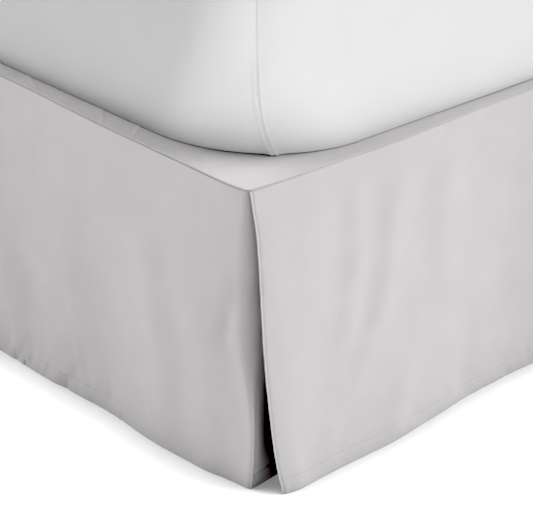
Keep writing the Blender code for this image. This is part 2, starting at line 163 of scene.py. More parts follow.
LEFT_FOLDS = (
    Fold(312, 240, 314, 100, 36, 2.4),
    Fold(148, 250, 146, 80, 30, 3.0),
    Fold(234, 230, 242, 60, 36, -1.2),
    Fold(72, 240, 70, 60, 28, 1.0),
    Fold(408, 150, 376, 40, 34, -2.2),
    Fold(476, 260, 462, 80, 38, 1.8),
    Fold(600, 280, 640, 60, 48, 2.6),
    Fold(770, 250, 745, 50, 44, -2.4),
    Fold(905, 300, 930, 60, 50, 2.8),
    Fold(1080, 240, 1050, 40, 46, -2.6),
    Fold(1235, 290, 1260, 70, 52, 2.4),
    Fold(1400, 260, 1370, 40, 44, -2.2),
    Fold(1545, 280, 1580, 60, 50, 2.6),
    Fold(1710, 240, 1690, 40, 46, -2.4),
    Fold(1860, 300, 1895, 60, 44, 2.8),
    Fold(1985, 280, 1975, 50, 34, -1.8),
)
RIGHT_FOLDS = (
    Fold(24, 300, 52, 60, 24, -2.0),
    Fold(104, 260, 90, 50, 32, 1.8),
    Fold(176, 250, 196, 60, 36, -2.4),
    Fold(286, 280, 262, 50, 40, 2.2),
    Fold(402, 240, 428, 40, 44, -2.2),
    Fold(540, 300, 520, 60, 48, 2.6),
    Fold(690, 250, 722, 50, 46, -2.6),
    Fold(860, 280, 835, 60, 50, 2.4),
    Fold(1010, 240, 1040, 40, 46, -2.4),
    Fold(1190, 300, 1165, 60, 52, 2.8),
    Fold(1345, 250, 1375, 50, 44, -2.2),
    Fold(1500, 280, 1480, 60, 48, 2.4),
    Fold(1655, 240, 1690, 40, 46, -2.6),
    Fold(1830, 290, 1800, 60, 48, 2.6),
    Fold(1960, 260, 1975, 50, 34, -1.8),
)
FOOT_FOLDS = (
    Fold(157, 350, 154, 250, 20, 2.3),
    Fold(150, 240, 138, 165, 18, 1.8),
    Fold(225, 325, 199, 195, 20, 2.3),
    Fold(190, 180, 154, 100, 20, 2.2),
    Fold(310, 340, 304, 185, 28, 2.1),
    Fold(420, 300, 412, 110, 34, -1.8),
    Fold(352, 120, 344, 10, 26, -1.8),
    Fold(122, 110, 96, 20, 24, 1.6),
    Fold(236, 80, 206, 10, 24, 1.6),
    Fold(84, 330, 70, 120, 30, 0.8),
    Fold(520, 280, 505, 60, 40, 2.0),
    Fold(640, 260, 660, 50, 44, -2.2),
    Fold(760, 300, 742, 60, 46, 2.2),
    Fold(885, 250, 905, 40, 42, -2.0),
    Fold(1010, 290, 990, 60, 40, 1.8),
    Fold(1120, 330, 1150, 50, 34, -1.6),
    Fold(1200, 330, 1262, 50, 34, 1.8),
    Fold(1290, 340, 1318, 80, 26, -1.4),
    Fold(1352, 330, 1372, 120, 26, 1.4),
    Fold(1410, 200, 1440, 20, 26, -1.5),
    Fold(1452, 340, 1462, 60, 26, 1.4),
)

# Small creases that the solids leave out, in the same columns
LEFT_CREASES = (
    Fold(-14, 262, 16, 192, 13, -3.9),
    Fold(15, 186, 13, 96, 14, -0.7),
    Fold(421, 78, 408, 26, 9, -0.9),
    Fold(330, 76, 318, 26, 9, -0.8),
    Fold(304, 70, 293, 26, 8, -0.8),
    Fold(262, 66, 250, 26, 9, -0.7),
    Fold(186, 56, 178, 26, 8, -0.6),
    Fold(372, 64, 362, 26, 8, 0.6),
    Fold(448, 66, 440, 26, 9, 0.7),
)
FOOT_CREASES = (
    Fold(128, 60, 112, 26, 9, -0.5),
    Fold(246, 52, 236, 26, 8, -0.4),
    Fold(328, 58, 318, 26, 9, 0.4),
    Fold(430, 50, 424, 26, 9, -0.4),
)

# The free edge's way down from the seam to the hem, as shares of the whole
Swing = namedtuple("Swing", "down share")

FREE_EDGE_SWING = (
    Swing(0.00, 0.00),
    Swing(0.07, 0.10),
    Swing(0.13, 0.19),
    Swing(0.23, 0.27),
    Swing(0.40, 0.35),
    Swing(0.56, 0.44),
    Swing(0.72, 0.58),
    Swing(0.88, 0.76),
    Swing(0.95, 0.88),
    Swing(1.00, 1.00),
)

# How a side drop turns its corner, by the share of the way down: the radius of the
# turn in mm, how far forward of the bed's foot it stands in mm, and how far the return
# behind it swings in under the bed in degrees, which it can only do below the base
Turn = namedtuple("Turn", "down radius forward swing")

CORNER_TURN = (
    Turn(0.00, 6, 0, 0),
    Turn(0.14, 17, 0, 0),
    Turn(0.32, 25, 0, 0),
    Turn(0.54, 21, 1, 0),
    Turn(0.64, 12, 4, 18),
    Turn(0.78, 5, 8, 38),
    Turn(0.88, 4, 8, 38),
    Turn(0.95, 4, 6, 24),
    Turn(1.00, 4, 4, 10),
)

# A crease across the strip of deck beside the mattress, in mm: where it meets the
# seam and the mattress, along the left side from the foot, its width and height
DeckCrease = namedtuple("DeckCrease", "seam_along mattress_along half_width height")

DECK_CREASES = (
    DeckCrease(380, 438, 5.0, 0.9),
    DeckCrease(252, 295, 2.6, 1.1),
    DeckCrease(198, 224, 2.2, 0.9),
    DeckCrease(192, 246, 3.0, -0.6),
    DeckCrease(640, 668, 4.0, 0.9),
    DeckCrease(905, 930, 3.0, 0.8),
    DeckCrease(1320, 1352, 4.0, 1.0),
    DeckCrease(1700, 1722, 3.0, 0.8),
)

# The strip of deck that shows: its width, where its relief begins and ends, how far
# it may sink, and how far sideways an edge has to face to be creased
DECK_STRIP = 30 * MM
DECK_STRIP_START = 4 * MM
DECK_STRIP_END = 8 * MM
DECK_STRIP_PAST = 1.15
DECK_SINK = 0.25 * MM
DECK_LEAST_CORNER = 2 * MM
DECK_SEED = 71
CREASED_FACING = 0.7

# How the mattress stands on the deck
MATTRESS_TOE = 2.5 * MM
MATTRESS_TUCK = 15.5 * MM
MATTRESS_TUCK_RISE = 0.200
MATTRESS_TUCK_POWER = 1.3
MATTRESS_UPPER_EDGE = 0.045
MATTRESS_CORNER = 0.095
MATTRESS_LOW_CORNER_ACROSS = 0.178
MATTRESS_LOW_CORNER_ALONG = 0.198
MATTRESS_CORNER_RISE = 0.220
MATTRESS_CORNER_POWER = 1.4
MATTRESS_CROWN = 0.010
MATTRESS_CROWN_REACH = 0.42
MATTRESS_CROWN_STEP = 25 * MM
MATTRESS_ROW_STEP = 6 * MM
MATTRESS_STEP = 14 * MM
MATTRESS_SAG = 1.2 * MM
MATTRESS_SAG_START = 80 * MM
LEAST_CORNER = 20 * MM
MATTRESS_SEED = 81
MATTRESS_TOP_SEED = 82

# The mattress's corner seams: a groove high up, a double welt low down and its tip
SEAM_WIDTH = 1.5 * MM
SEAM_WELT_TOP = 0.14
SEAM_WELT_FADE = 50 * MM
SEAM_WELT_APART = 3.2 * MM
SEAM_TIP = 5 * MM
SEAM_TIP_WIDTH = 9 * MM
SEAM_TIP_RISE = 24 * MM
SEAM_DRAW = 2.2 * MM
SEAM_DRAW_WIDTH = 14 * MM
SEAM_DRIFT = 22 * MM
SEAM_DRIFT_RISE = 40 * MM
BESIDE_SEAM = (0.0, 0.05, 0.1, 0.15, 0.2, 0.25, 0.3, 0.34, 0.37, 0.4, 0.42, 0.435, 0.445)
SEAM_TURN = 0.0055

# The deck's edge, and its rows in from the seam in mm
DECK_ROUND = 1.3 * MM
DECK_ROWS = (2.6, 4.5, 7, 10, 13, 16, 19.5, 23, 27, 31, 36, 44, 60, 120)
DECK_FINE_STEP = 2.6 * MM
DECK_STEP = 8 * MM

# The bed base, its legs and their glides
BASE_CORNER = 0.040
BASE_LEAST_CORNER = 5 * MM
BASE_EDGE = 0.012
BASE_STEP = 20 * MM
BASE_ROW_STEP = 12 * MM
BASE_FACE_INSETS = (0.30, 0.10, 0.05)
BASE_SOFTNESS = 0.8 * MM
BASE_SEED = 91
WELT_SUNK = 1.2 * MM
WELT_STAND = 1.4 * MM
LEGS = 6
LEG_FOOT_SHARE = 0.70
LEG_TAPER = (0.0, 0.02, 0.05, 0.2, 0.4, 0.6, 0.8, 0.86)
LEG_TOE = 1.5 * MM
LEG_NECK = 0.9
LEG_NECK_HEIGHT = 0.88
LEG_BEAD = 0.06
LEG_BEAD_MIDDLE = 0.935
LEG_BEAD_HALF = 0.045
LEG_SHOULDER = ((0.97, 1 * MM), (0.95, 0.0))
GLIDE_EDGE = 1.6 * MM
GLIDE_GROOVE = 0.7 * MM
GLIDE_GROOVE_HALF = 1 * MM
TURNED_SIDES = 40

# How the cloth's fold, seam and edge are rounded and how its shape is sampled
FADE_ABOVE = 1.35
FADE_BELOW = 0.45
FADE_LENGTH = 0.55
HELD_LENGTH = 0.06
EDGE_ROUND = 0.7 * MM
SEAM_HEIGHT = 1.3 * MM
SIDE_SEAM_DEPTH = 2.4 * MM
FOOT_SEAM_DEPTH = 0.8 * MM
DECK_LIP = 0.7 * MM
TURN_LENGTH = 0.014
CREASE_TURN = 0.72
CREASE_WIDTH = 0.16
CREASE_START = 0.55
CREASE_FADE = 0.2
TURN_STEP = 1 / 12
FINE_LENGTH = 0.50
FOOT_SEED = 11
FOOT_PUCKERING = 0.5
SIDE_PUCKERING = 1.0
STITCH_STEP = 4 * MM
STITCH_OVERLAP = 0.55
STITCH_RISE = 0.15
STITCH_BATCH = 40
SHARP_ANGLE = 50
KNOTS = 256
MERGE = 0.01 * MM
CUT_MAP = "cut"
SPHERE_TURN = Matrix.Rotation(math.pi / 2, 4, "Y")

# Rows over a hem's edge, about its stitching and down from the seam, in mm
EDGE_ROWS = (0.0, 0.3, 0.7, 1.2)
STITCHING_ROWS = (-1.4, -0.8, -0.4, 0.0, 0.5, 1.4, 3.0)
SEAM_ROWS = (9, 6.5, 4.5, 3, 2, 1.4, 1.0, 0.6, 0.3, 0)
HEM_STEP = 3 * MM

# A hem's relief. Its puckers run on a slant from the stitching, in two sizes, stronger
# and weaker by turns and weakest near the corner. Wider waves, which the stitching
# draws, reach past them, and small dents lie close to the floor.
BAND_SHARE = 0.35
BAND_EDGE = 2 * MM
GROOVE_SHARE = 0.5
GROOVE_WIDTH = 1.0 * MM
HEM_EDGE_SHARE = 0.4
STRENGTH_LEAST = 0.3
STRENGTH_STEP = 70 * MM
CORNER_STRENGTH = 0.45
STRENGTH_GAIN = 0.9
STRENGTH_START = 0.12
STRENGTH_REACH = 0.25
PUCKER_SLANT = 0.35
PUCKER_STEP = 7 * MM
WIDE_PUCKER_STEP = 13 * MM
WIDE_PUCKER_SHARE = 0.7
PUCKER_ABOVE = 16 * MM
PUCKER_BELOW = 24 * MM
DENT_STEP = 7 * MM
DENT_LEAST = 0.25
DENT_HEIGHT = 4 * MM
DENT_REACH = 6 * MM
DRAW_SLANT = 0.8
DRAW_STEP = 19 * MM
DRAW_REACH = 45 * MM
DRAW_SHARE = 1.3

# The same for the narrow hem down a free edge, and for the seam with the deck
SIDE_BAND_EDGE = 1.4 * MM
SIDE_GROOVE_WIDTH = 1.2 * MM
SIDE_PUCKER_REACH = 4.5 * MM
SIDE_PUCKER_SHARE = 0.5
SEAM_PUCKER_STEP = 5.5 * MM
SEAM_PUCKER_DROP = 3 * MM
SEAM_PUCKER_REACH = 7 * MM

# A gentle unevenness: its height, and how far apart its knots are across and up
Wave = namedtuple("Wave", "height across up")

CLOTH_WAVES = (Wave(0.45 * MM, 95 * MM, 150 * MM), Wave(0.14 * MM, 34 * MM, 60 * MM))
DECK_WAVES = (Wave(0.22 * MM, 9 * MM, 14 * MM), Wave(0.25 * MM, 60 * MM, 40 * MM))
MATTRESS_WAVES = (Wave(0.9 * MM, 150 * MM, 110 * MM),)
MATTRESS_TOP_WAVES = (Wave(MATTRESS_SAG, 0.17, 0.21),)
BASE_WAVES = (Wave(BASE_SOFTNESS, 90 * MM, 60 * MM),)

# A side drop: which way its wall faces, its tables and the start of its random draws
Side = namedtuple("Side", "name way stations folds creases seed")

SIDES = (
    Side("left", -1, LEFT_STATIONS, LEFT_FOLDS, LEFT_CREASES, 100),
    Side("right", 1, RIGHT_STATIONS, RIGHT_FOLDS, LEFT_CREASES, 200),
)

# Wide soft lights: where each one stands round the bed and how wide it is, in degrees,
# and what it lights, which is either the mattress alone or everything but the mattress
Sun = namedtuple("Sun", "name azimuth elevation strength spread lit")

SUNS = (
    Sun("key", 50, 36, 2.58, 44, "cloth"),
    Sun("side", -146, 42, 2.00, 50, "cloth"),
    Sun("overhead", 0, 88, 0.68, 80, "cloth"),
    Sun("mattress key", 50, 36, 0.95, 44, "mattress"),
    Sun("mattress side", -128, 34, 0.04, 50, "mattress"),
    Sun("mattress front", -22, -8, 1.28, 50, "mattress"),
    Sun("mattress overhead", 0, 90, 2.5, 20, "mattress"),
)
SUN_DISTANCE = 6.0
WORLD_STRENGTH = 0.06
BLACK_LEVEL = 0.13
FLOOR_GLOW = 0.36
FLOOR_SIZE = 120.0

# A contact shadow is painted into the floor's colour and glow: the floor darkens within this reach
# of what stands on it, between these shares of open surroundings, down to this shade
PAINTED_SHADOW_REACH = 0.06
PAINTED_SHADOW_OPEN = (0.45, 0.95)
PAINTED_CONTACT_SHADOW = 0.62

# Camera: its place from the foot's left corner, and the direction that it looks in
CAMERA_OFFSET = Vector((-2.22631, -2.53180, 1.88842))
CAMERA_AZIMUTH = -41.67
CAMERA_ELEVATION = 25.18
CAMERA_LENS = 223.8
CAMERA_SENSOR = 36.0
CAMERA_NEAR = 0.1
CAMERA_FAR = 200.0


def linear(hex_colour):
    """An sRGB hex colour as linear red, green and blue."""
    values = []
    for start in (1, 3, 5):
        share = int(hex_colour[start:start + 2], 16) / 255
        values.append(share / 12.92 if share <= 0.04045 else ((share + 0.055) / 1.055) ** 2.4)
    return tuple(values)


def add_node(tree, kind, settings=None, values=None, links=None):
    """Adds a shader node with its settings, its sockets' values and its links."""
    made = tree.nodes.new(kind)
    for name, value in (settings or {}).items():
        setattr(made, name, value)
    for socket, value in (values or {}).items():
        made.inputs[socket].default_value = value
    for socket, (source, output) in (links or {}).items():
        tree.links.new(source.outputs[output], made.inputs[socket])
    return made


def new_material(name):
    """A material with an empty tree but for its output and its shader."""
    material = bpy.data.materials.new(name)
    material.use_nodes = True
    tree = material.node_tree
    tree.nodes.clear()
    shader = add_node(tree, "ShaderNodeBsdfPrincipled")
    add_node(tree, "ShaderNodeOutputMaterial", links={"Surface": (shader, "BSDF")})
    return material, tree, shader


def colour_by(tree, shader, colour, field, spread):
    """Colours the surface, speckled by a field that runs from 0 to 1."""
    tone = speckled_colour(tree, colour, field, spread)
    tree.links.new(tone.outputs["Result"], shader.inputs["Base Color"])


def speckled_colour(tree, colour, field, spread):
    """The colour where the field is a half, darker by the spread at 0 and lighter at 1."""
    dark = tuple(c * (1 - spread) for c in colour) + (1.0,)
    light = tuple(min(1.0, c * (1 + spread)) for c in colour) + (1.0,)
    return add_node(
        tree,
        "ShaderNodeMix",
        {"data_type": "RGBA"},
        {"A": dark, "B": light},
        {"Factor": (field, "Fac")},
    )


def raise_by(tree, shader, field, output, strength, depth):
    """Has a field raise the surface by up to a depth."""
    relief = add_node(
        tree,
        "ShaderNodeBump",
        values={"Strength": strength, "Distance": depth},
        links={"Height": (field, output)},
    )
    tree.links.new(relief.outputs["Normal"], shader.inputs["Normal"])


def cloudy(tree, place, output, size, detail, roughness=0.5):
    """Noise with clouds of a size, laid on a node's coordinates."""
    return add_node(
        tree,
        "ShaderNodeTexNoise",
        values={"Scale": 1 / size, "Detail": detail, "Roughness": roughness},
        links={"Vector": (place, output)},
    )


def ranged(tree, field, output, taken, given):
    """A field's values, with the range that is taken stretched to the one given."""
    return add_node(
        tree,
        "ShaderNodeMapRange",
        values={"From Min": taken[0], "From Max": taken[1], "To Min": given[0], "To Max": given[1]},
        links={"Value": (field, output)},
    )


def give_values(shader, values):
    """Sets constants on the shader's own sockets."""
    for socket, value in values.items():
        shader.inputs[socket].default_value = value


def smooth_step(share):
    share = np.clip(share, 0.0, 1.0)
    return share * share * (3 - 2 * share)


def bump_at(distance, width):
    """One where the distance is nought, fading to nought past the width."""
    return np.exp(-((distance / width) ** 2))


def between(table, key, value, at):
    """The value of a table's column at places between its rows, on one smooth curve."""
    keys = np.array([getattr(row, key) for row in table], float)
    values = np.array([getattr(row, value) for row in table], float)
    slopes = np.gradient(values, keys)
    row = np.clip(np.searchsorted(keys, at) - 1, 0, len(keys) - 2)
    width = keys[row + 1] - keys[row]
    share = np.clip((at - keys[row]) / width, 0.0, 1.0)
    left = 1 - share
    start = values[row] * (1 + 2 * share) + slopes[row] * width * share
    end = values[row + 1] * (3 - 2 * share) - slopes[row + 1] * width * left
    return start * left**2 + end * share**2


def fold_out(folds, along, height):
    """How far the folds move the cloth outward, in metres."""
    total = np.zeros(np.broadcast(along, height).shape)
    for fold in folds:
        rise = (height / MM - fold.lower_height) / (fold.upper_height - fold.lower_height)
        centre = fold.lower_along + (fold.upper_along - fold.lower_along) * rise
        fade = smooth_step((FADE_ABOVE - rise) / FADE_LENGTH)
        fade *= smooth_step((rise + FADE_BELOW) / FADE_LENGTH)
        total += fold.depth * MM * bump_at(along / MM - centre, fold.half_width) * fade
    return total


def held_at_seam(height):
    """Folds die out towards the seam, where the cloth is sewn to the deck."""
    return smooth_step((DECK_TOP - height) / HELD_LENGTH)


def uneven(at, step, seed):
    """A smooth unevenness from -1 to 1 with a knot every step, the same each run."""
    knots = np.random.default_rng(seed).uniform(-1, 1, KNOTS)
    place = at / step + KNOTS / 4
    first = np.floor(place).astype(int)
    share = smooth_step(place - first)
    return knots[first % KNOTS] * (1 - share) + knots[(first + 1) % KNOTS] * share


def uneven_over(across, up, step_across, step_up, seed):
    """The same unevenness over a surface, with its knots on a grid."""
    place = up / step_up + KNOTS / 4
    row = np.floor(place).astype(int)
    share = smooth_step(place - row)
    knots = np.random.default_rng(seed).uniform(-1, 1, (KNOTS, KNOTS))
    spot = across / step_across + KNOTS / 4
    column = np.floor(spot).astype(int)
    turn = smooth_step(spot - column)

    def along_row(line):
        here = knots[line % KNOTS, column % KNOTS]
        following = knots[line % KNOTS, (column + 1) % KNOTS]
        return here * (1 - turn) + following * turn

    return along_row(row) * (1 - share) + along_row(row + 1) * share


def waves_over(waves, across, up, seed):
    """The sum of some waves over a surface. Each has a seed of its own, one on from
    the last one's."""
    total = 0.0
    for number, wave in enumerate(waves):
        total = total + wave.height * uneven_over(across, up, wave.across, wave.up, seed + number)
    return total


def steps_between(start, end, step):
    count = max(1, round((end - start) / step))
    return [start + (end - start) * i / count for i in range(1, count + 1)]


def edge_steps(width):
    """Distances from a cloth's edge in over its hem, close together at the stitching."""
    turn = [inward * MM for inward in EDGE_ROWS]
    stitch = [width + shift * MM for shift in STITCHING_ROWS]
    return turn + steps_between(turn[-1], stitch[0], HEM_STEP)[:-1] + stitch


def row_heights(sizes):
    """Heights of the cloth's rows above the floor, from the hem to the seam."""
    hem = [HEM_BOTTOM + rise for rise in edge_steps(sizes.hem_band)]
    seam = [DROP_TOP - drop * MM for drop in SEAM_ROWS]
    return np.array(hem + steps_between(hem[-1], seam[0], sizes.row_step)[:-1] + seam)


def foot_columns(sizes):
    hem = edge_steps(sizes.edge_hem)
    left = hem + steps_between(hem[-1], FINE_LENGTH, sizes.fine_step)
    right = [BED_WIDTH - along for along in reversed(left)]
    return np.array(left + steps_between(left[-1], right[0], sizes.coarse_step)[:-1] + right)


def side_columns(sizes):
    """Distances along the wall from the foot corner. Below zero is the corner's turn
    and, past that, the return behind the foot drop."""
    end = -1.0 - RETURN_LENGTH
    back = [end] + steps_between(end, -1.0, sizes.fine_step)
    corner = steps_between(-1.0, 0.0, TURN_STEP)
    wall = steps_between(0.0, FINE_LENGTH, sizes.fine_step)
    far_hem = [BED_LENGTH - width for width in reversed(edge_steps(sizes.edge_hem))]
    far = steps_between(FINE_LENGTH, far_hem[0], sizes.coarse_step)[:-1]
    return np.array(back + corner + wall + far + far_hem)


def hem_relief(sizes, along, height, creases, puckering, seed):
    """How far the hem's turned-up band, its stitching and its puckers stand out."""
    rise = height - HEM_BOTTOM
    from_stitching = rise - sizes.hem_band
    band = BAND_SHARE * smooth_step(-from_stitching / BAND_EDGE)
    stitch = GROOVE_SHARE * bump_at(from_stitching, GROOVE_WIDTH)
    strength = STRENGTH_LEAST + (1 - STRENGTH_LEAST) * np.abs(uneven(along, STRENGTH_STEP, seed))
    gain = STRENGTH_GAIN * smooth_step((along - STRENGTH_START) / STRENGTH_REACH)
    strength *= puckering * (CORNER_STRENGTH + gain)
    slant = along + PUCKER_SLANT * rise
    pucker = uneven(slant, PUCKER_STEP, seed + 1)
    pucker = pucker + WIDE_PUCKER_SHARE * uneven(slant, WIDE_PUCKER_STEP, seed + 2)
    reach = np.where(rise > sizes.hem_band, PUCKER_ABOVE, PUCKER_BELOW)
    puckers = pucker * strength * bump_at(from_stitching, reach)
    dents = np.maximum(uneven(along, DENT_STEP, seed + 3) - DENT_LEAST, 0.0)
    dents = dents * bump_at(rise - DENT_HEIGHT, DENT_REACH)
    drawn = uneven(along + DRAW_SLANT * rise, DRAW_STEP, seed + 4)
    drawn = drawn * bump_at(from_stitching, DRAW_REACH)
    relief = sizes.fold_over * band - sizes.stitch_sink * stitch + sizes.pucker * puckers
    relief += strength * (DRAW_SHARE * sizes.pucker * drawn - sizes.dent * dents)
    relief += fold_out(creases, along, height)
    return relief - HEM_EDGE_SHARE * turned_edge(rise)


def turned_edge(inward):
    """How far the cloth's rounded edge turns in, close to where it ends."""
    left = np.clip(1 - inward / EDGE_ROUND, 0.0, 1.0)
    return EDGE_ROUND * (1 - np.sqrt(1 - left * left))


def side_hem_relief(sizes, from_edge, height, seed):
    """The narrow hem down a free edge, a little proud and puckered at its stitching."""
    from_stitching = from_edge - sizes.edge_hem
    band = smooth_step(-from_stitching / SIDE_BAND_EDGE)
    stitch = bump_at(from_stitching, SIDE_GROOVE_WIDTH)
    pucker = uneven(height, PUCKER_STEP, seed) * bump_at(from_stitching, SIDE_PUCKER_REACH)
    relief = sizes.fold_over * band - sizes.stitch_sink * stitch
    relief += SIDE_PUCKER_SHARE * sizes.pucker * pucker
    return relief - turned_edge(from_edge)


def seam_relief(sizes, along, height, depth, seed):
    """The cloth turns in to its seam with the deck, and puckers a little under it."""
    below = DROP_TOP - height
    pucker = uneven(along, SEAM_PUCKER_STEP, seed)
    pucker = pucker * bump_at(below - SEAM_PUCKER_DROP, SEAM_PUCKER_REACH)
    return sizes.seam_pucker * pucker - depth * smooth_step(1 - below / SEAM_HEIGHT)


def plain_unevenness(along, height, seed):
    return waves_over(CLOTH_WAVES, along, height, seed) * held_at_seam(height)


def foot_surface(sizes, along, height):
    """Points of the foot drop's outer face, in the frame."""
    down = (DECK_TOP - height) / (DECK_TOP - HEM_HEIGHT)
    swing = between(FREE_EDGE_SWING, "down", "share", down)
    from_edge = np.minimum(along, BED_WIDTH - along)
    near = bump_at(from_edge, SWING_REACH)
    share = swing * near + down**LEAN_POWER * (1 - near)
    seam_out = between(FOOT_STATIONS, "along", "seam_out", along / MM) * MM
    hem_out = between(FOOT_STATIONS, "along", "hem_out", along / MM) * MM
    out = seam_out * (1 - share) + hem_out * share
    out += fold_out(FOOT_FOLDS, along, height) * held_at_seam(height)
    out += plain_unevenness(along, height, FOOT_SEED)
    out += hem_relief(sizes, along, height, FOOT_CREASES, FOOT_PUCKERING, FOOT_SEED + 10)
    out += side_hem_relief(sizes, from_edge, height, FOOT_SEED + 20)
    out += seam_relief(sizes, along, height, FOOT_SEAM_DEPTH, FOOT_SEED + 30)
    inward = FREE_EDGE_TOP + FREE_EDGE_SHIFT * swing
    inward = inward * np.clip(1 - from_edge / FREE_EDGE_REACH, 0.0, 1.0) ** 2
    x = LEFT_X + along + np.where(along < BED_WIDTH / 2, inward, -inward)
    return np.stack(np.broadcast_arrays(x, FOOT_Y - out, height), axis=-1)


def side_surface(sizes, along, height, side):
    """Points of a side drop's outer face: its wall, its corner and its return."""
    down = (DECK_TOP - height) / (DECK_TOP - HEM_HEIGHT)
    radius = between(CORNER_TURN, "down", "radius", down) * MM
    forward = between(CORNER_TURN, "down", "forward", down) * MM
    wall = np.maximum(along, 0.0)
    seam_out = between(side.stations, "along", "seam_out", wall / MM) * MM
    hem_out = between(side.stations, "along", "hem_out", wall / MM) * MM
    out = seam_out + (hem_out - seam_out) * down**LEAN_POWER
    out = out + fold_out(side.folds, wall, height) * held_at_seam(height)
    out += plain_unevenness(wall, height, side.seed)
    cut = cut_along(along)
    relief = hem_relief(sizes, cut, height, side.creases, SIDE_PUCKERING, side.seed + 10)
    relief += side_hem_relief(sizes, BED_LENGTH - along, height, side.seed + 20)
    relief += seam_relief(sizes, cut, height, SIDE_SEAM_DEPTH, side.seed + 30)
    turn = np.clip(-along, 0.0, 1.0)
    low = smooth_step((down - CREASE_START) / CREASE_FADE)
    pressed = bump_at(turn - CREASE_TURN, CREASE_WIDTH) * low
    relief += sizes.crease * pressed
    reach = radius + out * (1 - turn) + relief
    centre_y = RETURN_INSET + radius - forward
    stretch = (BED_LENGTH - centre_y) / BED_LENGTH
    past = np.maximum(-along - 1, 0.0)
    bend = np.hypot(past, RETURN_BEND) - RETURN_BEND
    swing = np.radians(between(CORNER_TURN, "down", "swing", down))
    angle = turn * math.pi / 2
    x = BED_WIDTH / 2 - radius + reach * np.cos(angle) - past + (1 - np.cos(swing)) * bend
    y = FOOT_Y + centre_y - reach * np.sin(angle) + np.sin(swing) * bend + wall * stretch
    middle = (LEFT_X + RIGHT_X) / 2
    return np.stack(np.broadcast_arrays(middle + side.way * x, y, height), axis=-1)


def cut_along(along):
    """A side drop's distance along the cloth as it was cut, nought at the corner."""
    back = np.minimum(along + 1, 0.0)
    return np.where(along < 0, back - TURN_LENGTH * np.clip(-along, 0.0, 1.0), along)


def mesh_from(bm, name):
    """A finished mesh from a bmesh, which is freed."""
    mesh = bpy.data.meshes.new(name)
    bm.to_mesh(mesh)
    bm.free()
    return mesh


def vectors_of(items, name):
    """The vector of a name that each item has, as the rows of an array."""
    flat = np.empty(len(items) * 3, np.float32)
    items.foreach_get(name, flat)
    return flat.reshape(-1, 3)


def grid_of(columns, rows):
    """A flat grid of faces, with the column and the row of each of its points."""
    bm = bmesh.new()
    bmesh.ops.create_grid(bm, x_segments=columns - 1, y_segments=rows - 1, size=0.5)
    mesh = mesh_from(bm, "grid")
    flat = vectors_of(mesh.vertices, "co")
    column = np.rint((flat[:, 0] + 0.5) * (columns - 1)).astype(int)
    row = np.rint((flat[:, 1] + 0.5) * (rows - 1)).astype(int)
    return mesh, column, row


def set_points(mesh, points):
    mesh.vertices.foreach_set("co", np.asarray(points, np.float32).ravel())
    mesh.update()


def set_cut_map(mesh, places):
    """The piece's own map: where each point was on the flat cloth, in metres."""
    corners = np.empty(len(mesh.loops), np.int32)
    mesh.loops.foreach_get("vertex_index", corners)
    layer = mesh.uv_layers.new(name=CUT_MAP)
    layer.data.foreach_set("uv", np.asarray(places, np.float32)[corners].ravel())


def show(name, mesh, material):
    """Links a finished mesh as a piece that is shaded smooth."""
    mesh.name = name
    mesh.shade_smooth()
    mesh.materials.append(material)
    piece = bpy.data.objects.new(name, mesh)
    bpy.context.scene.collection.objects.link(piece)
    return piece


def settle(piece):
    """Applies the piece's modifiers, and shades it smooth but for its sharp edges."""
    graph = bpy.context.evaluated_depsgraph_get()
    mesh = bpy.data.meshes.new_from_object(piece.evaluated_get(graph))
    piece.modifiers.clear()
    old = piece.data
    piece.data = mesh
    name = old.name
    bpy.data.meshes.remove(old)
    mesh.name = name
    mesh.shade_smooth()
    mesh.set_sharp_from_angle(angle=math.radians(SHARP_ANGLE))


def make_outward(mesh, looks_up):
    """Turns an open sheet's faces to look up, or away from the bed's middle."""
    normals = vectors_of(mesh.polygons, "normal")
    centres = vectors_of(mesh.polygons, "center")
    total = normals[:, 2].sum() if looks_up else (normals[:, :2] * centres[:, :2]).sum()
    if total < 0:
        mesh.flip_normals()


def thicken(piece, thickness, doubled, hem_thickness):
    """Gives the sheet its thickness, more of it where a hem is folded over."""
    group = piece.vertex_groups.new(name="layers")
    group.add(range(len(piece.data.vertices)), thickness / hem_thickness, "REPLACE")
    group.add([int(index) for index in doubled], 1.0, "REPLACE")
    solidify = piece.modifiers.new("cloth thickness", "SOLIDIFY")
    solidify.thickness = hem_thickness
    solidify.vertex_group = group.name
    solidify.offset = -1.0
    solidify.use_even_offset = True
    settle(piece)


def hanging_cloth(name, columns, rows, surface, hemmed, material):
    """A hanging sheet: a grid that is laid on the surface, with its hems doubled."""
    sizes = bpy.context.scene.skirt_sizes
    mesh, column, row = grid_of(len(columns), len(rows))
    set_points(mesh, surface(columns[column], rows[row]))
    set_cut_map(mesh, np.stack([cut_along(columns[column]), rows[row]], axis=1))
    make_outward(mesh, False)
    piece = show(name, mesh, material)
    doubled = np.nonzero((rows[row] < HEM_BOTTOM + sizes.hem_band) | hemmed(columns[column]))[0]
    thicken(piece, sizes.cloth, doubled, sizes.hem_cloth)
    return piece


# Cloth and thread


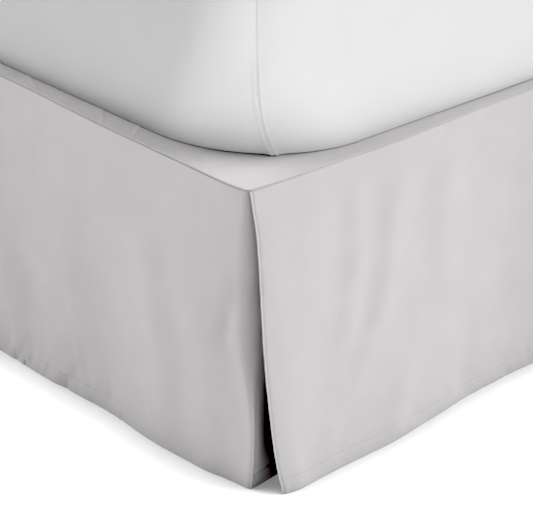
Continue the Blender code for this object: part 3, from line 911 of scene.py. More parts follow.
def brushed_microfibre(name, colour, sizes):
    """Polyester microfibre, woven plain and brushed: a soft matt face with a faint
    bloom at grazing angles, and threads that only show as a fine mottle."""
    material, tree, shader = new_material(name)
    place = add_node(tree, "ShaderNodeUVMap", {"uv_map": CUT_MAP})
    threads = add_node(
        tree,
        "ShaderNodeMapping",
        values={"Scale": (1 / sizes.mottle_width, 1 / sizes.mottle_height, 1.0)},
        links={"Vector": (place, "UV")},
    )
    mottle = cloudy(tree, threads, "Vector", size=1.0, detail=3.0, roughness=0.6)
    patches = cloudy(tree, place, "UV", size=sizes.nap_patch, detail=2.0)
    tone = speckled_colour(tree, colour, mottle, spread=0.045)
    nap = ranged(tree, patches, "Fac", taken=(0.3, 0.7), given=(0.985, 1.015))
    shade = add_node(
        tree,
        "ShaderNodeVectorMath",
        {"operation": "SCALE"},
        links={"Vector": (tone, "Result"), "Scale": (nap, "Result")},
    )
    tree.links.new(shade.outputs["Vector"], shader.inputs["Base Color"])
    raise_by(tree, shader, mottle, "Fac", strength=0.35, depth=sizes.weave_depth)
    give_values(shader, {"Roughness": 0.85, "IOR": 1.5, "Specular IOR Level": 0.25})
    give_values(shader, {"Sheen Weight": 0.08, "Sheen Roughness": 0.5})
    return material


def spun_polyester_thread(name, colour):
    """Sewing thread, spun from polyester staple: a little smoother than the cloth,
    with a fine twist across it."""
    material, tree, shader = new_material(name)
    place = add_node(tree, "ShaderNodeTexCoord")
    twist = cloudy(tree, place, "Object", size=0.5 * MM, detail=1.0)
    colour_by(tree, shader, colour, twist, spread=0.08)
    give_values(shader, {"Roughness": 0.6, "Specular IOR Level": 0.3})
    return material


def knitted_cover(name, colour):
    """Mattress cover, knitted from white polyester yarn: matt, with loops too fine to
    count that only soften the light. The loops are drawn four times their size."""
    material, tree, shader = new_material(name)
    place = add_node(tree, "ShaderNodeTexCoord")
    loop = 2.4 * MM
    loops = add_node(
        tree,
        "ShaderNodeTexVoronoi",
        {"distance": "EUCLIDEAN"},
        {"Scale": 1 / loop, "Randomness": 0.6},
        {"Vector": (place, "Object")},
    )
    clouds = cloudy(tree, place, "Object", size=60 * MM, detail=2.0)
    colour_by(tree, shader, colour, clouds, spread=0.02)
    raise_by(tree, shader, loops, "Distance", strength=0.25, depth=0.15 * MM)
    give_values(shader, {"Roughness": 0.88, "Specular IOR Level": 0.25})
    return material


def woven_base_cover(name, colour):
    """Upholstery cloth of a bed base, woven plain from thick pale yarn: threads 1 mm
    apart that cross at right angles, drawn twice as coarse so that they show."""
    material, tree, shader = new_material(name)
    place = add_node(tree, "ShaderNodeTexCoord")
    yarn = 2.0 * MM
    across = add_node(
        tree,
        "ShaderNodeTexWave",
        {"wave_type": "BANDS", "bands_direction": "DIAGONAL"},
        {"Scale": 1 / (yarn * math.tau), "Distortion": 1.5, "Detail": 1.0},
        {"Vector": (place, "Object")},
    )
    slubs = cloudy(tree, place, "Object", size=9 * MM, detail=4.0)
    colour_by(tree, shader, colour, slubs, spread=0.07)
    raise_by(tree, shader, across, "Fac", strength=0.4, depth=0.3 * MM)
    give_values(shader, {"Roughness": 0.9, "Specular IOR Level": 0.25})
    return material


def lacquered_beech(name, colour):
    """Turned beech under black lacquer: an even satin gloss, with the grain only
    just felt along the leg."""
    material, tree, shader = new_material(name)
    place = add_node(tree, "ShaderNodeTexCoord")
    grain_width, grain_length = 1.2 * MM, 30 * MM
    stretched = add_node(
        tree,
        "ShaderNodeMapping",
        values={"Scale": (1 / grain_width, 1 / grain_width, 1 / grain_length)},
        links={"Vector": (place, "Object")},
    )
    grain = cloudy(tree, stretched, "Vector", size=1.0, detail=3.0)
    colour_by(tree, shader, colour, grain, spread=0.25)
    raise_by(tree, shader, grain, "Fac", strength=0.15, depth=0.1 * MM)
    give_values(shader, {"Roughness": 0.35, "Coat Weight": 0.3, "Coat Roughness": 0.25})
    return material


def moulded_polyethylene(name, colour):
    """Glides moulded from dark polyethylene: waxy, with a fine cast grain that is
    scuffed a little lighter in patches."""
    material, tree, shader = new_material(name)
    place = add_node(tree, "ShaderNodeTexCoord")
    scuffs = cloudy(tree, place, "Object", size=5 * MM, detail=4.0)
    colour_by(tree, shader, colour, scuffs, spread=0.3)
    rough = ranged(tree, scuffs, "Fac", taken=(0.0, 1.0), given=(0.42, 0.6))
    tree.links.new(rough.outputs["Result"], shader.inputs["Roughness"])
    return material


def painted_floor(name, colour):
    """Matt white studio floor, lit from within, with a contact shadow painted into its colour and
    its glow close to what stands on it.
    """
    material, tree, shader = new_material(name)
    # Painted shadow: ambient occlusion darkens the floor's colour and glow near what stands on it
    painted_shadow_ao = add_node(
        tree,
        "ShaderNodeAmbientOcclusion",
        {"samples": 16},
        {"Distance": PAINTED_SHADOW_REACH},
    )
    shade = ranged(tree, painted_shadow_ao, "AO", taken=PAINTED_SHADOW_OPEN, given=(PAINTED_CONTACT_SHADOW, 1.0))
    tone = add_node(
        tree,
        "ShaderNodeVectorMath",
        {"operation": "SCALE"},
        {"Vector": colour},
        {"Scale": (shade, "Result")},
    )
    tree.links.new(tone.outputs["Vector"], shader.inputs["Base Color"])
    tree.links.new(tone.outputs["Vector"], shader.inputs["Emission Color"])
    give_values(shader, {"Roughness": 0.9, "Specular IOR Level": 0.1})
    give_values(shader, {"Emission Strength": FLOOR_GLOW})
    return material


# Shapes that are wrapped round the bed

Outline = namedtuple("Outline", "quarter turn run")
CORNER_SIDES = np.array(((1, 1), (-1, 1), (-1, -1), (1, -1)))


def outline_columns(turns, runs):
    """Columns once round a rounded rectangle and back to the first, from the head's
    right corner: each corner's quarter turn, then the straight run to the next."""
    places = []
    for quarter in range(4):
        places += [(quarter, turn, 0.0) for turn in turns]
        places += [(quarter, 1.0, run) for run in runs[quarter]]
    places.append(places[0])
    quarter, turn, run = (np.array(column) for column in zip(*places))
    return Outline(quarter.astype(int), turn, run)


def even_turns(count):
    return [step / count for step in range(count + 1)]


def even_runs(length, step):
    return [place / length for place in steps_between(0.0, length, step)[:-1]]


def outline_points(outline, half_x, half_y, corner_x, corner_y):
    """Places round the outline, and the direction in which each one faces."""
    angle = (outline.quarter + outline.turn) * math.pi / 2
    facing = np.stack([np.cos(angle), np.sin(angle)], axis=-1)
    ahead = (outline.quarter + 1) % 4
    here, there = CORNER_SIDES[outline.quarter], CORNER_SIDES[ahead]
    x = here[:, 0] * (half_x - corner_x) + corner_x * facing[:, 0]
    y = here[:, 1] * (half_y - corner_y) + corner_y * facing[:, 1]
    next_x = there[:, 0] * (half_x - corner_x) + corner_x * facing[:, 0]
    next_y = there[:, 1] * (half_y - corner_y) + corner_y * facing[:, 1]
    x = x * (1 - outline.run) + next_x * outline.run
    y = y * (1 - outline.run) + next_y * outline.run
    return x, y, facing


def at_columns(outline, column):
    return Outline(outline.quarter[column], outline.turn[column], outline.run[column])


def join_round(mesh, may_close):
    """Joins the grid's two ends round the bed, and closes the openings that may be."""
    bm = bmesh.new()
    bm.from_mesh(mesh)
    bmesh.ops.remove_doubles(bm, verts=bm.verts, dist=MERGE)
    rims = [edge for edge in bm.edges if edge.is_boundary and may_close(edge)]
    bmesh.ops.holes_fill(bm, edges=rims, sides=0)
    bmesh.ops.recalc_face_normals(bm, faces=bm.faces)
    bm.to_mesh(mesh)
    bm.free()


def middle_of(low, high):
    return (low.x + high.x) / 2, (low.y + high.y) / 2


def halves_of(low, high):
    return (high.x - low.x) / 2, (high.y - low.y) / 2


def box_outline(half_x, half_y, corner, turns, step):
    """Columns round a box, evenly spaced along its sides."""
    across = even_runs(2 * (half_x - corner), step)
    along = even_runs(2 * (half_y - corner), step)
    return outline_columns(turns, (across, along, across, along))


def quarter_round(count):
    """Angles from nought to a right angle, in even steps."""
    return [step * math.pi / (2 * count) for step in range(count + 1)]


def half_round(count):
    """Angles from a right angle below to a right angle above, in even steps."""
    return [step * math.pi / count - math.pi / 2 for step in range(count + 1)]


def deck_mesh():
    """The deck: rows in from its seam, with the strip beside the mattress creased."""
    width, length = BED_WIDTH - 2 * DECK_CORNER, BED_LENGTH - 2 * DECK_CORNER
    near = steps_between(0.0, FINE_LENGTH, DECK_FINE_STEP)
    far = steps_between(FINE_LENGTH, length, DECK_STEP)[:-1]
    left_run = [1 - place / length for place in reversed(near + far)]
    right_run = [place / length for place in near + far]
    runs = (even_runs(width, DECK_STEP), left_run, even_runs(width, DECK_STEP), right_run)
    outline = outline_columns(even_turns(6), runs)
    quarter = quarter_round(4)
    edge = [(DECK_ROUND * (1 - math.cos(a)), DECK_ROUND * (math.sin(a) - 1)) for a in quarter]
    profile = np.array(edge + [(inset * MM, 0.0) for inset in DECK_ROWS])
    mesh, column, row = grid_of(len(outline.run), len(profile))
    inset, drop = profile[row, 0], profile[row, 1]
    corner = np.maximum(DECK_CORNER - inset, DECK_LEAST_CORNER)
    places = at_columns(outline, column)
    lip = DECK_LIP - inset
    x, y, facing = outline_points(places, BED_WIDTH / 2 + lip, BED_LENGTH / 2 + lip, corner, corner)
    along_x, along_y = (x + BED_WIDTH / 2) / MM, (y + BED_LENGTH / 2) / MM
    settled = smooth_step(1 - inset / DECK_STRIP)
    left = between(LEFT_STATIONS, "along", "seam_out", along_y)
    right = between(RIGHT_STATIONS, "along", "seam_out", along_y)
    foot = between(FOOT_STATIONS, "along", "seam_out", along_x)
    x = x + facing[:, 0] * np.where(facing[:, 0] < 0, left, right) * MM * settled
    y = y + np.minimum(facing[:, 1], 0.0) * foot * MM * settled
    z = DECK_TOP + drop + deck_relief(x, y, inset, facing)
    middle_x, middle_y = (LEFT_X + RIGHT_X) / 2, (FOOT_Y + HEAD_Y) / 2
    set_points(mesh, np.stack([x + middle_x, y + middle_y, z], axis=-1))
    inner = DECK_ROWS[-2] * MM

    def on_inner_rim(edge):
        place = edge.verts[0].co
        within_width = abs(place.x - middle_x) < BED_WIDTH / 2 - inner
        return within_width and abs(place.y - middle_y) < BED_LENGTH / 2 - inner

    join_round(mesh, on_inner_rim)
    make_outward(mesh, True)
    return mesh


def deck_relief(x, y, inset, facing):
    """Creases and pulls of the strip of deck that shows beside the mattress."""
    from_foot = (y + BED_LENGTH / 2) / MM
    share = np.clip(inset / DECK_STRIP, 0.0, 1.0)
    shown = smooth_step(inset / DECK_STRIP_START)
    shown = shown * smooth_step((DECK_STRIP * DECK_STRIP_PAST - inset) / DECK_STRIP_END)
    creased = np.zeros(len(x))
    for crease in DECK_CREASES:
        centre = crease.seam_along + (crease.mattress_along - crease.seam_along) * share
        creased += crease.height * MM * bump_at(from_foot - centre, crease.half_width)
    relief = np.where(np.abs(facing[:, 0]) > CREASED_FACING, creased, 0.0)
    relief = relief + waves_over(DECK_WAVES, x + y, inset, DECK_SEED)
    return np.maximum(relief, -DECK_SINK) * shown


def mattress_rows():
    """The mattress side's way up: how far in from the outline and how high."""
    high = MATTRESS_UPPER_EDGE
    height = MATTRESS_HIGH.z - MATTRESS_LOW.z - MATTRESS_CROWN
    quarter = quarter_round(10)
    toe = MATTRESS_TOE
    lower = [(MATTRESS_TUCK + toe * (1 - math.sin(a)), toe * (1 - math.cos(a))) for a in quarter]
    side = []
    for rise in steps_between(toe, height - high, MATTRESS_ROW_STEP)[:-1]:
        left = max(0.0, 1 - (rise - toe) / MATTRESS_TUCK_RISE)
        side.append((MATTRESS_TUCK * left**MATTRESS_TUCK_POWER, rise))
    upper = [(high * (1 - math.cos(a)), height - high + high * math.sin(a)) for a in quarter]
    crown = []
    for inset in steps_between(high, MATTRESS_CROWN_REACH, MATTRESS_CROWN_STEP):
        rise = smooth_step((inset - high) / (MATTRESS_CROWN_REACH - high))
        crown.append((inset, height + MATTRESS_CROWN * float(rise)))
    return np.array(lower + side + upper + crown)


def mattress_mesh(sizes):
    """The mattress: fuller corners low down, and a seam down the middle of each."""
    half_x, half_y = halves_of(MATTRESS_LOW, MATTRESS_HIGH)
    seam = [0.5 + step * SEAM_TURN for step in range(-9, 10)]
    turns = [*BESIDE_SEAM] + seam + [1 - turn for turn in reversed(BESIDE_SEAM)]
    outline = box_outline(half_x, half_y, MATTRESS_CORNER, turns, MATTRESS_STEP)
    rows = mattress_rows()
    mesh, column, row = grid_of(len(outline.run), len(rows))
    inset, height = rows[row, 0], rows[row, 1]
    share = 1 - np.clip(1 - height / MATTRESS_CORNER_RISE, 0.0, 1.0) ** MATTRESS_CORNER_POWER
    corner_x = MATTRESS_LOW_CORNER_ACROSS + (MATTRESS_CORNER - MATTRESS_LOW_CORNER_ACROSS) * share
    corner_y = MATTRESS_LOW_CORNER_ALONG + (MATTRESS_CORNER - MATTRESS_LOW_CORNER_ALONG) * share
    corner_x = np.maximum(corner_x - inset, LEAST_CORNER)
    corner_y = np.maximum(corner_y - inset, LEAST_CORNER)
    places = at_columns(outline, column)
    arc = (corner_x + corner_y) * math.pi / 4
    from_seam = np.where(places.run > 0, 1.0, (places.turn - 0.5) * arc)
    drift = SEAM_DRIFT * np.exp(-height / SEAM_DRIFT_RISE) * np.sin(places.turn * math.pi) / arc
    places = places._replace(turn=places.turn + np.where(places.quarter % 2 == 0, drift, -drift))
    x, y, facing = outline_points(places, half_x - inset, half_y - inset, corner_x, corner_y)
    relief = mattress_relief(sizes, x, y, from_seam, height, inset)
    middle_x, middle_y = middle_of(MATTRESS_LOW, MATTRESS_HIGH)
    x = x + facing[:, 0] * relief + middle_x
    y = y + facing[:, 1] * relief + middle_y
    top = smooth_step((inset - MATTRESS_UPPER_EDGE) / MATTRESS_SAG_START)
    top = top * (height > MATTRESS_CORNER_RISE)
    sag = MATTRESS_SAG + waves_over(MATTRESS_TOP_WAVES, x, y, MATTRESS_TOP_SEED)
    z = MATTRESS_LOW.z + height - top * sag
    set_points(mesh, np.stack([x, y, z], axis=-1))
    join_round(mesh, lambda edge: True)
    return mesh


def mattress_relief(sizes, x, y, from_seam, height, inset):
    """The cover's softness, and its corner seams: a groove high up and two rows of
    stitched welt low down, which end in a small tip on the deck."""
    side = smooth_step(1 - inset / MATTRESS_UPPER_EDGE)
    soft = waves_over(MATTRESS_WAVES, x + y, height, MATTRESS_SEED) * side
    low = smooth_step((SEAM_WELT_TOP - height) / SEAM_WELT_FADE)
    groove = sizes.seam_groove * bump_at(from_seam, SEAM_WIDTH) * side
    welts = sizes.seam_welt * bump_at(np.abs(from_seam) - SEAM_WELT_APART, SEAM_WIDTH) * low
    tip = SEAM_TIP * bump_at(from_seam, SEAM_TIP_WIDTH) * smooth_step(1 - height / SEAM_TIP_RISE)
    drawn_in = SEAM_DRAW * bump_at(from_seam, SEAM_DRAW_WIDTH) * side * (1 - low)
    return soft - groove + welts + tip - drawn_in


def base_rows(sizes):
    """The base's side: rounded edges, each with a piped welt sewn along it."""
    height = BASE_HIGH.z - BASE_LOW.z
    edge, welt = BASE_EDGE, sizes.base_welt
    quarter = quarter_round(6)
    rows = [(inset, 0.0) for inset in BASE_FACE_INSETS]
    rows += [(edge * (1 - math.sin(a)), edge * (1 - math.cos(a))) for a in quarter]
    rows += welt_rows(edge + welt, welt)
    side = steps_between(edge + 3 * welt, height - edge - 3 * welt, BASE_ROW_STEP)
    rows += [(0.0, rise) for rise in side]
    rows += welt_rows(height - edge - welt, welt)
    rows += [(edge * (1 - math.cos(a)), height - edge + edge * math.sin(a)) for a in quarter]
    rows += [(inset, height) for inset in reversed(BASE_FACE_INSETS)]
    return np.array(rows)


def welt_rows(height, welt):
    """Rows over a half-round welt that stands a little proud of the side."""
    radius = welt * 0.5
    turns = half_round(8)
    return [(WELT_SUNK - radius * math.cos(a), height + radius * math.sin(a)) for a in turns]


def base_mesh(sizes):
    half_x, half_y = halves_of(BASE_LOW, BASE_HIGH)
    outline = box_outline(half_x, half_y, BASE_CORNER, even_turns(10), BASE_STEP)
    rows = base_rows(sizes)
    mesh, column, row = grid_of(len(outline.run), len(rows))
    inset, height = rows[row, 0], rows[row, 1]
    corner = np.maximum(BASE_CORNER - inset, BASE_LEAST_CORNER)
    places = at_columns(outline, column)
    inset = inset + WELT_STAND
    x, y, facing = outline_points(places, half_x - inset, half_y - inset, corner, corner)
    side = smooth_step(1 - inset / BASE_CORNER)
    soft = (waves_over(BASE_WAVES, x + y, height, BASE_SEED) - BASE_SOFTNESS) * side
    middle_x, middle_y = middle_of(BASE_LOW, BASE_HIGH)
    x = x + facing[:, 0] * soft + middle_x
    y = y + facing[:, 1] * soft + middle_y
    set_points(mesh, np.stack([x, y, BASE_LOW.z + height], axis=-1))
    join_round(mesh, lambda edge: True)
    return mesh


def turned_mesh(name, profile, middle):
    """A turned piece: its profile, from the foot up, spun round an upright axis."""
    bm = bmesh.new()
    points = [bm.verts.new((radius, 0.0, height)) for radius, height in profile]
    edges = [bm.edges.new(pair) for pair in zip(points, points[1:])]
    bmesh.ops.spin(
        bm,
        geom=points + edges,
        cent=(0, 0, 0),
        axis=(0, 0, 1),
        angle=math.tau,
        steps=TURNED_SIDES,
        use_merge=True,
    )
    bmesh.ops.remove_doubles(bm, verts=bm.verts, dist=MERGE)
    bmesh.ops.recalc_face_normals(bm, faces=bm.faces)
    bmesh.ops.translate(bm, verts=bm.verts, vec=(*middle, 0.0))
    return mesh_from(bm, name)


def leg_profile(low, high):
    """A leg that tapers to its foot, with a bead under the base and a turned-in toe."""
    height = high.z - low.z
    top = (high.x - low.x) / 2
    foot = top * LEG_FOOT_SHARE
    taper = [(foot + (top - foot) * share * LEG_NECK, low.z + height * share) for share in LEG_TAPER]
    taper[0] = (foot - LEG_TOE, low.z)
    bead = [(top * LEG_NECK, low.z + height * LEG_NECK_HEIGHT)]
    for angle in half_round(8):
        radius = top * (1 - LEG_BEAD + LEG_BEAD * math.cos(angle))
        bead.append((radius, low.z + height * (LEG_BEAD_MIDDLE + LEG_BEAD_HALF * math.sin(angle))))
    bead += [(top * share, high.z - drop) for share, drop in LEG_SHOULDER]
    return [(0.0, low.z)] + taper + bead + [(0.0, high.z)]


def glide_profile(low, high):
    """A flat round foot with soft edges and a shallow groove round its side."""
    radius = (high.x - low.x) / 2
    soft = GLIDE_EDGE
    quarter = quarter_round(4)
    lower = [(radius - soft * (1 - math.sin(a)), low.z + soft * (1 - math.cos(a))) for a in quarter]
    upper = [(radius - soft * (1 - math.cos(a)), high.z - soft * (1 - math.sin(a))) for a in quarter]
    middle = (low.z + high.z) / 2
    half = GLIDE_GROOVE_HALF
    groove = [(radius, middle - half), (radius - GLIDE_GROOVE, middle), (radius, middle + half)]
    return [(0.0, low.z)] + lower + groove + upper + [(0.0, high.z)]


# Stitches


def stitch_mesh(name, points, outward, sizes):
    """Small stitches of thread that follow a line of points, half sunk in the cloth."""
    lengths = np.linalg.norm(np.diff(points, axis=0), axis=1)
    run = np.concatenate([[0.0], np.cumsum(lengths)])
    bm = bmesh.new()
    batch = bmesh.new()
    pitch = sizes.stitch_length + sizes.stitch_gap
    radius = sizes.thread / 2
    stretch = Matrix.Diagonal((sizes.stitch_length * STITCH_OVERLAP, radius, radius, 1.0))
    mesh = bpy.data.meshes.new(name)

    def on_line(place, values):
        return Vector([np.interp(place, run, values[:, axis]) for axis in range(3)])

    for number in range(int(run[-1] / pitch)):
        start = (number + 0.5) * pitch
        low, high = on_line(start, points), on_line(start + sizes.stitch_length, points)
        out = on_line(start, outward)
        along = (high - low).normalized()
        up = (out - along * out.dot(along)).normalized()
        turn = Matrix((along, along.cross(up), up)).transposed().to_4x4()
        place = Matrix.Translation((low + high) / 2 + up * sizes.thread * STITCH_RISE)
        shape = place @ turn @ stretch @ SPHERE_TURN
        bmesh.ops.create_uvsphere(batch, u_segments=6, v_segments=4, radius=1.0, matrix=shape)
        if number % STITCH_BATCH == 0:
            batch.to_mesh(mesh)
            bm.from_mesh(mesh)
            batch.clear()
    batch.to_mesh(mesh)
    bm.from_mesh(mesh)
    bm.to_mesh(mesh)
    batch.free()
    bm.free()
    return mesh


def stitch_line(surface, along, height):
    """A line over a cloth's surface, with the way that the cloth faces along it."""
    points = surface(along, height)
    step = 0.5 * MM
    across = surface(along + step, height) - points
    upward = surface(along, height + step) - points
    outward = np.cross(across, upward)
    outward /= np.linalg.norm(outward, axis=1)[:, None]
    return points, outward


# What a user would change


def length_of(name, description, default):
    """A length that a user would change."""
    return FloatProperty(
        name=name, description=description, default=default, unit="LENGTH", precision=5
    )


def colour_of(name, description, hex_colour):
    """A colour that a user would change."""
    return FloatVectorProperty(
        name=name, description=description, default=linear(hex_colour), subtype="COLOR"
    )


class SkirtSizes(bpy.types.PropertyGroup):
    """Sizes of the cloth, its sewing and the bed's covers."""

    cloth: length_of("Cloth", "Thickness of the skirt's cloth", 1.2 * MM)
    hem_cloth: length_of("Hem cloth", "Thickness where a hem is folded over", 2.0 * MM)
    hem_band: length_of("Hem", "Depth of the hem at the floor", 18.5 * MM)
    edge_hem: length_of("Side hem", "Width of the hem down a free edge", 3.2 * MM)
    fold_over: length_of("Fold-over", "How far a hem's second layer stands out", 0.25 * MM)
    stitch_sink: length_of("Stitch sink", "Depth of the groove that stitching pulls in", 0.6 * MM)
    pucker: length_of("Hem pucker", "Height of the small puckers along a hem", 0.7 * MM)
    crease: length_of("Crease", "Height of the pressed crease at the foot of a corner", 1.1 * MM)
    dent: length_of("Hem dent", "Depth of the small dents at the hem's lower edge", 4.5 * MM)
    seam_pucker: length_of("Seam pucker", "Height of the puckers under the top seam", 0.25 * MM)
    fine_step: length_of("Fine step", "Spacing of the cloth's points near the foot", 3.2 * MM)
    row_step: length_of("Row step", "Spacing of the cloth's points up its drop", 4.4 * MM)
    coarse_step: length_of("Coarse step", "Spacing of the cloth's points elsewhere", 7.0 * MM)
    stitch_length: length_of("Stitch", "Length of a stitch", 2.8 * MM)
    stitch_gap: length_of("Stitch gap", "Gap between two stitches", 0.9 * MM)
    thread: length_of("Thread", "Diameter of the sewing thread", 0.45 * MM)
    mottle_width: length_of("Mottle width", "Width of the cloth's fine mottle", 0.9 * MM)
    mottle_height: length_of("Mottle height", "Height of the cloth's fine mottle", 2.0 * MM)
    nap_patch: length_of("Nap patch", "Size of the patches where the nap lies over", 45 * MM)
    weave_depth: length_of("Weave depth", "Depth of the cloth's weave", 0.12 * MM)
    seam_groove: length_of("Seam groove", "Depth of the mattress cover's corner seam", 1.4 * MM)
    seam_welt: length_of("Seam welt", "Height of the corner seam's welt low down", 1.5 * MM)
    base_welt: length_of("Base welt", "Diameter of the piping on the bed base", 5 * MM)


class SkirtColours(bpy.types.PropertyGroup):
    """Colours of the skirt, the bed and the floor."""

    cloth: colour_of("Cloth", "Colour of the skirt", "#c6c4c5")
    thread: colour_of("Thread", "Colour of the stitching", "#cfcdce")
    mattress: colour_of("Mattress", "Colour of the mattress cover", "#d2d2d2")
    base: colour_of("Base", "Colour of the bed base's cover", "#cbc9c5")
    leg: colour_of("Leg", "Colour of the legs' lacquer", "#221f1d")
    glide: colour_of("Glide", "Colour of the glides", "#38383a")
    floor: colour_of("Floor", "Colour of the studio floor", "#fafafa")


# Operators


def settings():
    scene = bpy.context.scene
    return scene.skirt_sizes, scene.skirt_colours


def must_have(name):
    """The named piece, or an error where it has not been made yet."""
    piece = bpy.data.objects.get(name)
    if piece is None:
        raise RuntimeError(f"{name} has to be made first")
    return piece


class SKIRT_OT_deck(bpy.types.Operator):
    """Lay the skirt's deck over the bed base"""

    bl_idname = "skirt.lay_deck"
    bl_label = "Lay the deck"

    def execute(self, context):
        sizes, colours = settings()
        mesh = deck_mesh()
        set_cut_map(mesh, vectors_of(mesh.vertices, "co")[:, :2])
        cloth = brushed_microfibre("brushed microfibre cloth, deck", colours.cloth, sizes)
        piece = show("deck_cloth", mesh, cloth)
        thicken(piece, sizes.cloth, [], sizes.cloth)
        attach(piece, "root")
        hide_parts("skirt_deck")
        return {"FINISHED"}


class SKIRT_OT_drops(bpy.types.Operator):
    """Hang the foot drop and the two side drops from the deck's edges"""

    bl_idname = "skirt.hang_drops"
    bl_label = "Hang the drops"

    def execute(self, context):
        sizes, colours = settings()
        cloth = brushed_microfibre("brushed microfibre cloth, drops", colours.cloth, sizes)
        rows = row_heights(sizes)

        def foot_hem(along):
            return np.minimum(along, BED_WIDTH - along) < sizes.edge_hem

        def side_hem(along):
            return along > BED_LENGTH - sizes.edge_hem

        columns = foot_columns(sizes)
        foot = hanging_cloth("foot_drop_cloth", columns, rows, foot_points, foot_hem, cloth)
        declare_drop(foot, "drop_foot")
        columns = side_columns(sizes)
        for side in SIDES:
            name = f"{side.name}_drop_cloth"
            piece = hanging_cloth(name, columns, rows, side_points(side), side_hem, cloth)
            declare_drop(piece, f"drop_{side.name}")
        return {"FINISHED"}


def foot_points(along, height):
    return foot_surface(bpy.context.scene.skirt_sizes, along, height)


def side_points(side):
    """The surface of one side drop, as a function of a place along and up the cloth."""

    def points(along, height):
        return side_surface(bpy.context.scene.skirt_sizes, along, height, side)

    return points


def declare_drop(piece, node):
    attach(piece, "root")
    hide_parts(node)


class SKIRT_OT_stitching(bpy.types.Operator):
    """Sew the hems of the three drops"""

    bl_idname = "skirt.sew_hems"
    bl_label = "Sew the hems"

    def execute(self, context):
        sizes, colours = settings()
        thread = spun_polyester_thread("spun polyester thread", colours.thread)
        hem = HEM_BOTTOM + sizes.hem_band
        up = np.arange(hem, DROP_TOP - SEAM_HEIGHT, STITCH_STEP)
        edge = sizes.edge_hem
        wall = np.arange(edge, BED_WIDTH - edge, STITCH_STEP)
        lines = [along_hem(wall, hem), down_edge(edge, up), down_edge(BED_WIDTH - edge, up)]
        sew("foot_drop_stitching", "foot_drop_cloth", "drop_foot", foot_points, lines, thread)
        wall = np.arange(0.0, BED_LENGTH - edge, STITCH_STEP)
        back = np.arange(-1 - RETURN_LENGTH + edge, -1.0, STITCH_STEP)
        lines = [along_hem(wall, hem), along_hem(back, hem), down_edge(BED_LENGTH - edge, up)]
        for side in SIDES:
            names = (f"{side.name}_drop_stitching", f"{side.name}_drop_cloth", f"drop_{side.name}")
            sew(*names, side_points(side), lines, thread)
        return {"FINISHED"}


def along_hem(along, height):
    return along, np.full(len(along), height)


def down_edge(along, heights):
    return np.full(len(heights), along), heights


def sew(name, cloth_name, slot, surface, lines, thread):
    """One piece of stitching: every line of stitches over a drop that is hung."""
    must_have(cloth_name)
    sizes = bpy.context.scene.skirt_sizes
    bm = bmesh.new()
    for along, height in lines:
        points, outward = stitch_line(surface, along, height)
        outward = outward * facing_sign(points, outward)
        line = stitch_mesh(name, points, outward, sizes)
        bm.from_mesh(line)
        bpy.data.meshes.remove(line)
    piece = show(name, mesh_from(bm, name), thread)
    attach(piece, "root")


def facing_sign(points, outward):
    """One where the directions point away from the bed's middle, or minus one."""
    total = (points[:, :2] * outward[:, :2]).sum()
    return 1.0 if total > 0 else -1.0


class SKIRT_OT_mattress(bpy.types.Operator):
    """Set the mattress on the deck"""

    bl_idname = "skirt.set_mattress"
    bl_label = "Set the mattress"

    def execute(self, context):
        sizes, colours = settings()
        cover = knitted_cover("white knitted polyester cover", colours.mattress)
        piece = show("mattress_in_cover", mattress_mesh(sizes), cover)
        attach(piece, "root")
        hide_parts("mattress")
        return {"FINISHED"}


class SKIRT_OT_base(bpy.types.Operator):
    """Cover the bed base"""

    bl_idname = "skirt.cover_base"
    bl_label = "Cover the base"

    def execute(self, context):
        sizes, colours = settings()
        cover = woven_base_cover("pale woven upholstery cloth", colours.base)
        piece = show("covered_bed_base", base_mesh(sizes), cover)
        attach(piece, "root")
        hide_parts("bed_base")
        return {"FINISHED"}


class SKIRT_OT_legs(bpy.types.Operator):
    """Turn the bed's legs and mould the glides under them"""

    bl_idname = "skirt.turn_legs"
    bl_label = "Turn the legs"

    def execute(self, context):
        colours = context.scene.skirt_colours
        lacquer = lacquered_beech("black lacquered beech", colours.leg)
        plastic = moulded_polyethylene("dark moulded polyethylene", colours.glide)
        kinds = (("leg", leg_profile, lacquer), ("glide", glide_profile, plastic))
        for number in range(1, LEGS + 1):
            for kind, profile, material in kinds:
                node = f"{kind}_{number}"
                low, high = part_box(node)
                mesh = turned_mesh(node, profile(low, high), middle_of(low, high))
                piece = show(f"turned_{node}", mesh, material)
                mesh.set_sharp_from_angle(angle=math.radians(SHARP_ANGLE))
                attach(piece, "root")
                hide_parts(node)
        return {"FINISHED"}


class SKIRT_OT_stage(bpy.types.Operator):
    """Set up the floor, the lights and the camera"""

    bl_idname = "skirt.set_stage"
    bl_label = "Set the stage"

    def execute(self, context):
        colours = context.scene.skirt_colours
        make_floor(colours.floor)
        for sun in SUNS:
            make_sun(sun)
        make_world()
        make_camera()
        set_film(context.scene.view_settings)
        return {"FINISHED"}


def make_floor(colour):
    bm = bmesh.new()
    bmesh.ops.create_grid(bm, x_segments=8, y_segments=8, size=FLOOR_SIZE / 2)
    mesh = mesh_from(bm, "studio_floor")
    floor = show("studio_floor", mesh, painted_floor("matt white studio floor", colour))


def toward(azimuth, elevation):
    """The direction out to something at an azimuth and an elevation, in degrees."""
    turn, lift = math.radians(azimuth), math.radians(elevation)
    level = math.cos(lift)
    return Vector((math.sin(turn) * level, -math.cos(turn) * level, math.sin(lift)))


def make_sun(sun):
    """A wide soft light from far off, aimed at what its row says that it lights."""
    light = bpy.data.lights.new(sun.name, "SUN")
    light.energy = sun.strength
    light.angle = math.radians(sun.spread)
    lamp = bpy.data.objects.new(sun.name, light)
    lamp.rotation_mode = "QUATERNION"
    away = toward(sun.azimuth, sun.elevation)
    lamp.rotation_quaternion = away.to_track_quat("Z", "Y")
    lamp.location = away * SUN_DISTANCE
    bpy.context.scene.collection.objects.link(lamp)
    aim_at(lamp, must_have("mattress_in_cover"), sun.lit == "mattress")


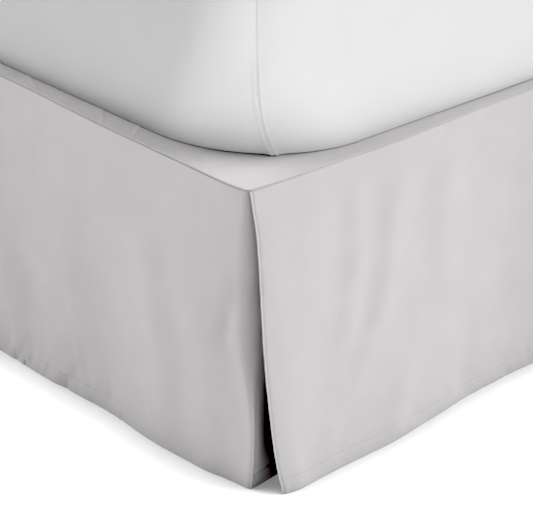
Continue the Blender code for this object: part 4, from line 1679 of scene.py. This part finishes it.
def aim_at(lamp, piece, alone):
    """Has a light shine on one piece alone, shaded by nothing else, or on all but it."""
    aimed = bpy.data.collections.new("aim of " + lamp.name)
    aimed.objects.link(piece)
    aimed.collection_objects[0].light_linking.link_state = "INCLUDE" if alone else "EXCLUDE"
    lamp.light_linking.receiver_collection = aimed
    if alone:
        lamp.light_linking.blocker_collection = aimed


def make_world():
    world = bpy.data.worlds.new("studio")
    world.use_nodes = True
    background = world.node_tree.nodes["Background"]
    background.inputs["Color"].default_value = (1.0, 1.0, 1.0, 1.0)
    background.inputs["Strength"].default_value = WORLD_STRENGTH
    bpy.context.scene.world = world


def set_film(view):
    """Plain colours, with the deepest shadows printed black."""
    view.view_transform = "Standard"
    view.look = "None"
    view.use_curve_mapping = True
    view.curve_mapping.black_level = (BLACK_LEVEL, BLACK_LEVEL, BLACK_LEVEL)
    view.curve_mapping.update()


def make_camera():
    camera_data = bpy.data.cameras.new("camera")
    camera_data.lens = CAMERA_LENS
    camera_data.sensor_width = CAMERA_SENSOR
    camera_data.clip_start = CAMERA_NEAR
    camera_data.clip_end = CAMERA_FAR
    camera = bpy.data.objects.new("camera", camera_data)
    camera.rotation_mode = "QUATERNION"
    camera.location = Vector((LEFT_X, FOOT_Y, 0.0)) + CAMERA_OFFSET
    back = toward(CAMERA_AZIMUTH, CAMERA_ELEVATION)
    camera.rotation_quaternion = (-back).to_track_quat("-Z", "Y")
    bpy.context.scene.collection.objects.link(camera)
    bpy.context.scene.camera = camera


class SKIRT_PT_panel(bpy.types.Panel):
    """The bed skirt's steps and sizes"""

    bl_idname = "SKIRT_PT_panel"
    bl_label = "Bed skirt"
    bl_space_type = "VIEW_3D"
    bl_region_type = "UI"
    bl_category = "Bed skirt"

    def draw(self, context):
        layout = self.layout
        for operator in STEPS:
            layout.operator(operator.bl_idname)
        for group in (context.scene.skirt_sizes, context.scene.skirt_colours):
            box = layout.box()
            for name in group.__annotations__:
                box.prop(group, name)


STEPS = (
    SKIRT_OT_deck,
    SKIRT_OT_drops,
    SKIRT_OT_stitching,
    SKIRT_OT_mattress,
    SKIRT_OT_base,
    SKIRT_OT_legs,
    SKIRT_OT_stage,
)
CLASSES = (SkirtSizes, SkirtColours) + STEPS + (SKIRT_PT_panel,)


def register():
    for item in CLASSES:
        bpy.utils.register_class(item)
    bpy.types.Scene.skirt_sizes = PointerProperty(type=SkirtSizes)
    bpy.types.Scene.skirt_colours = PointerProperty(type=SkirtColours)


def unregister():
    del bpy.types.Scene.skirt_colours
    del bpy.types.Scene.skirt_sizes
    for item in reversed(CLASSES):
        bpy.utils.unregister_class(item)


def main():
    register()
    bpy.ops.skirt.lay_deck()
    bpy.ops.skirt.hang_drops()
    bpy.ops.skirt.sew_hems()
    bpy.ops.skirt.set_mattress()
    bpy.ops.skirt.cover_base()
    bpy.ops.skirt.turn_legs()
    bpy.ops.skirt.set_stage()


if __name__ == "__main__":
    main()
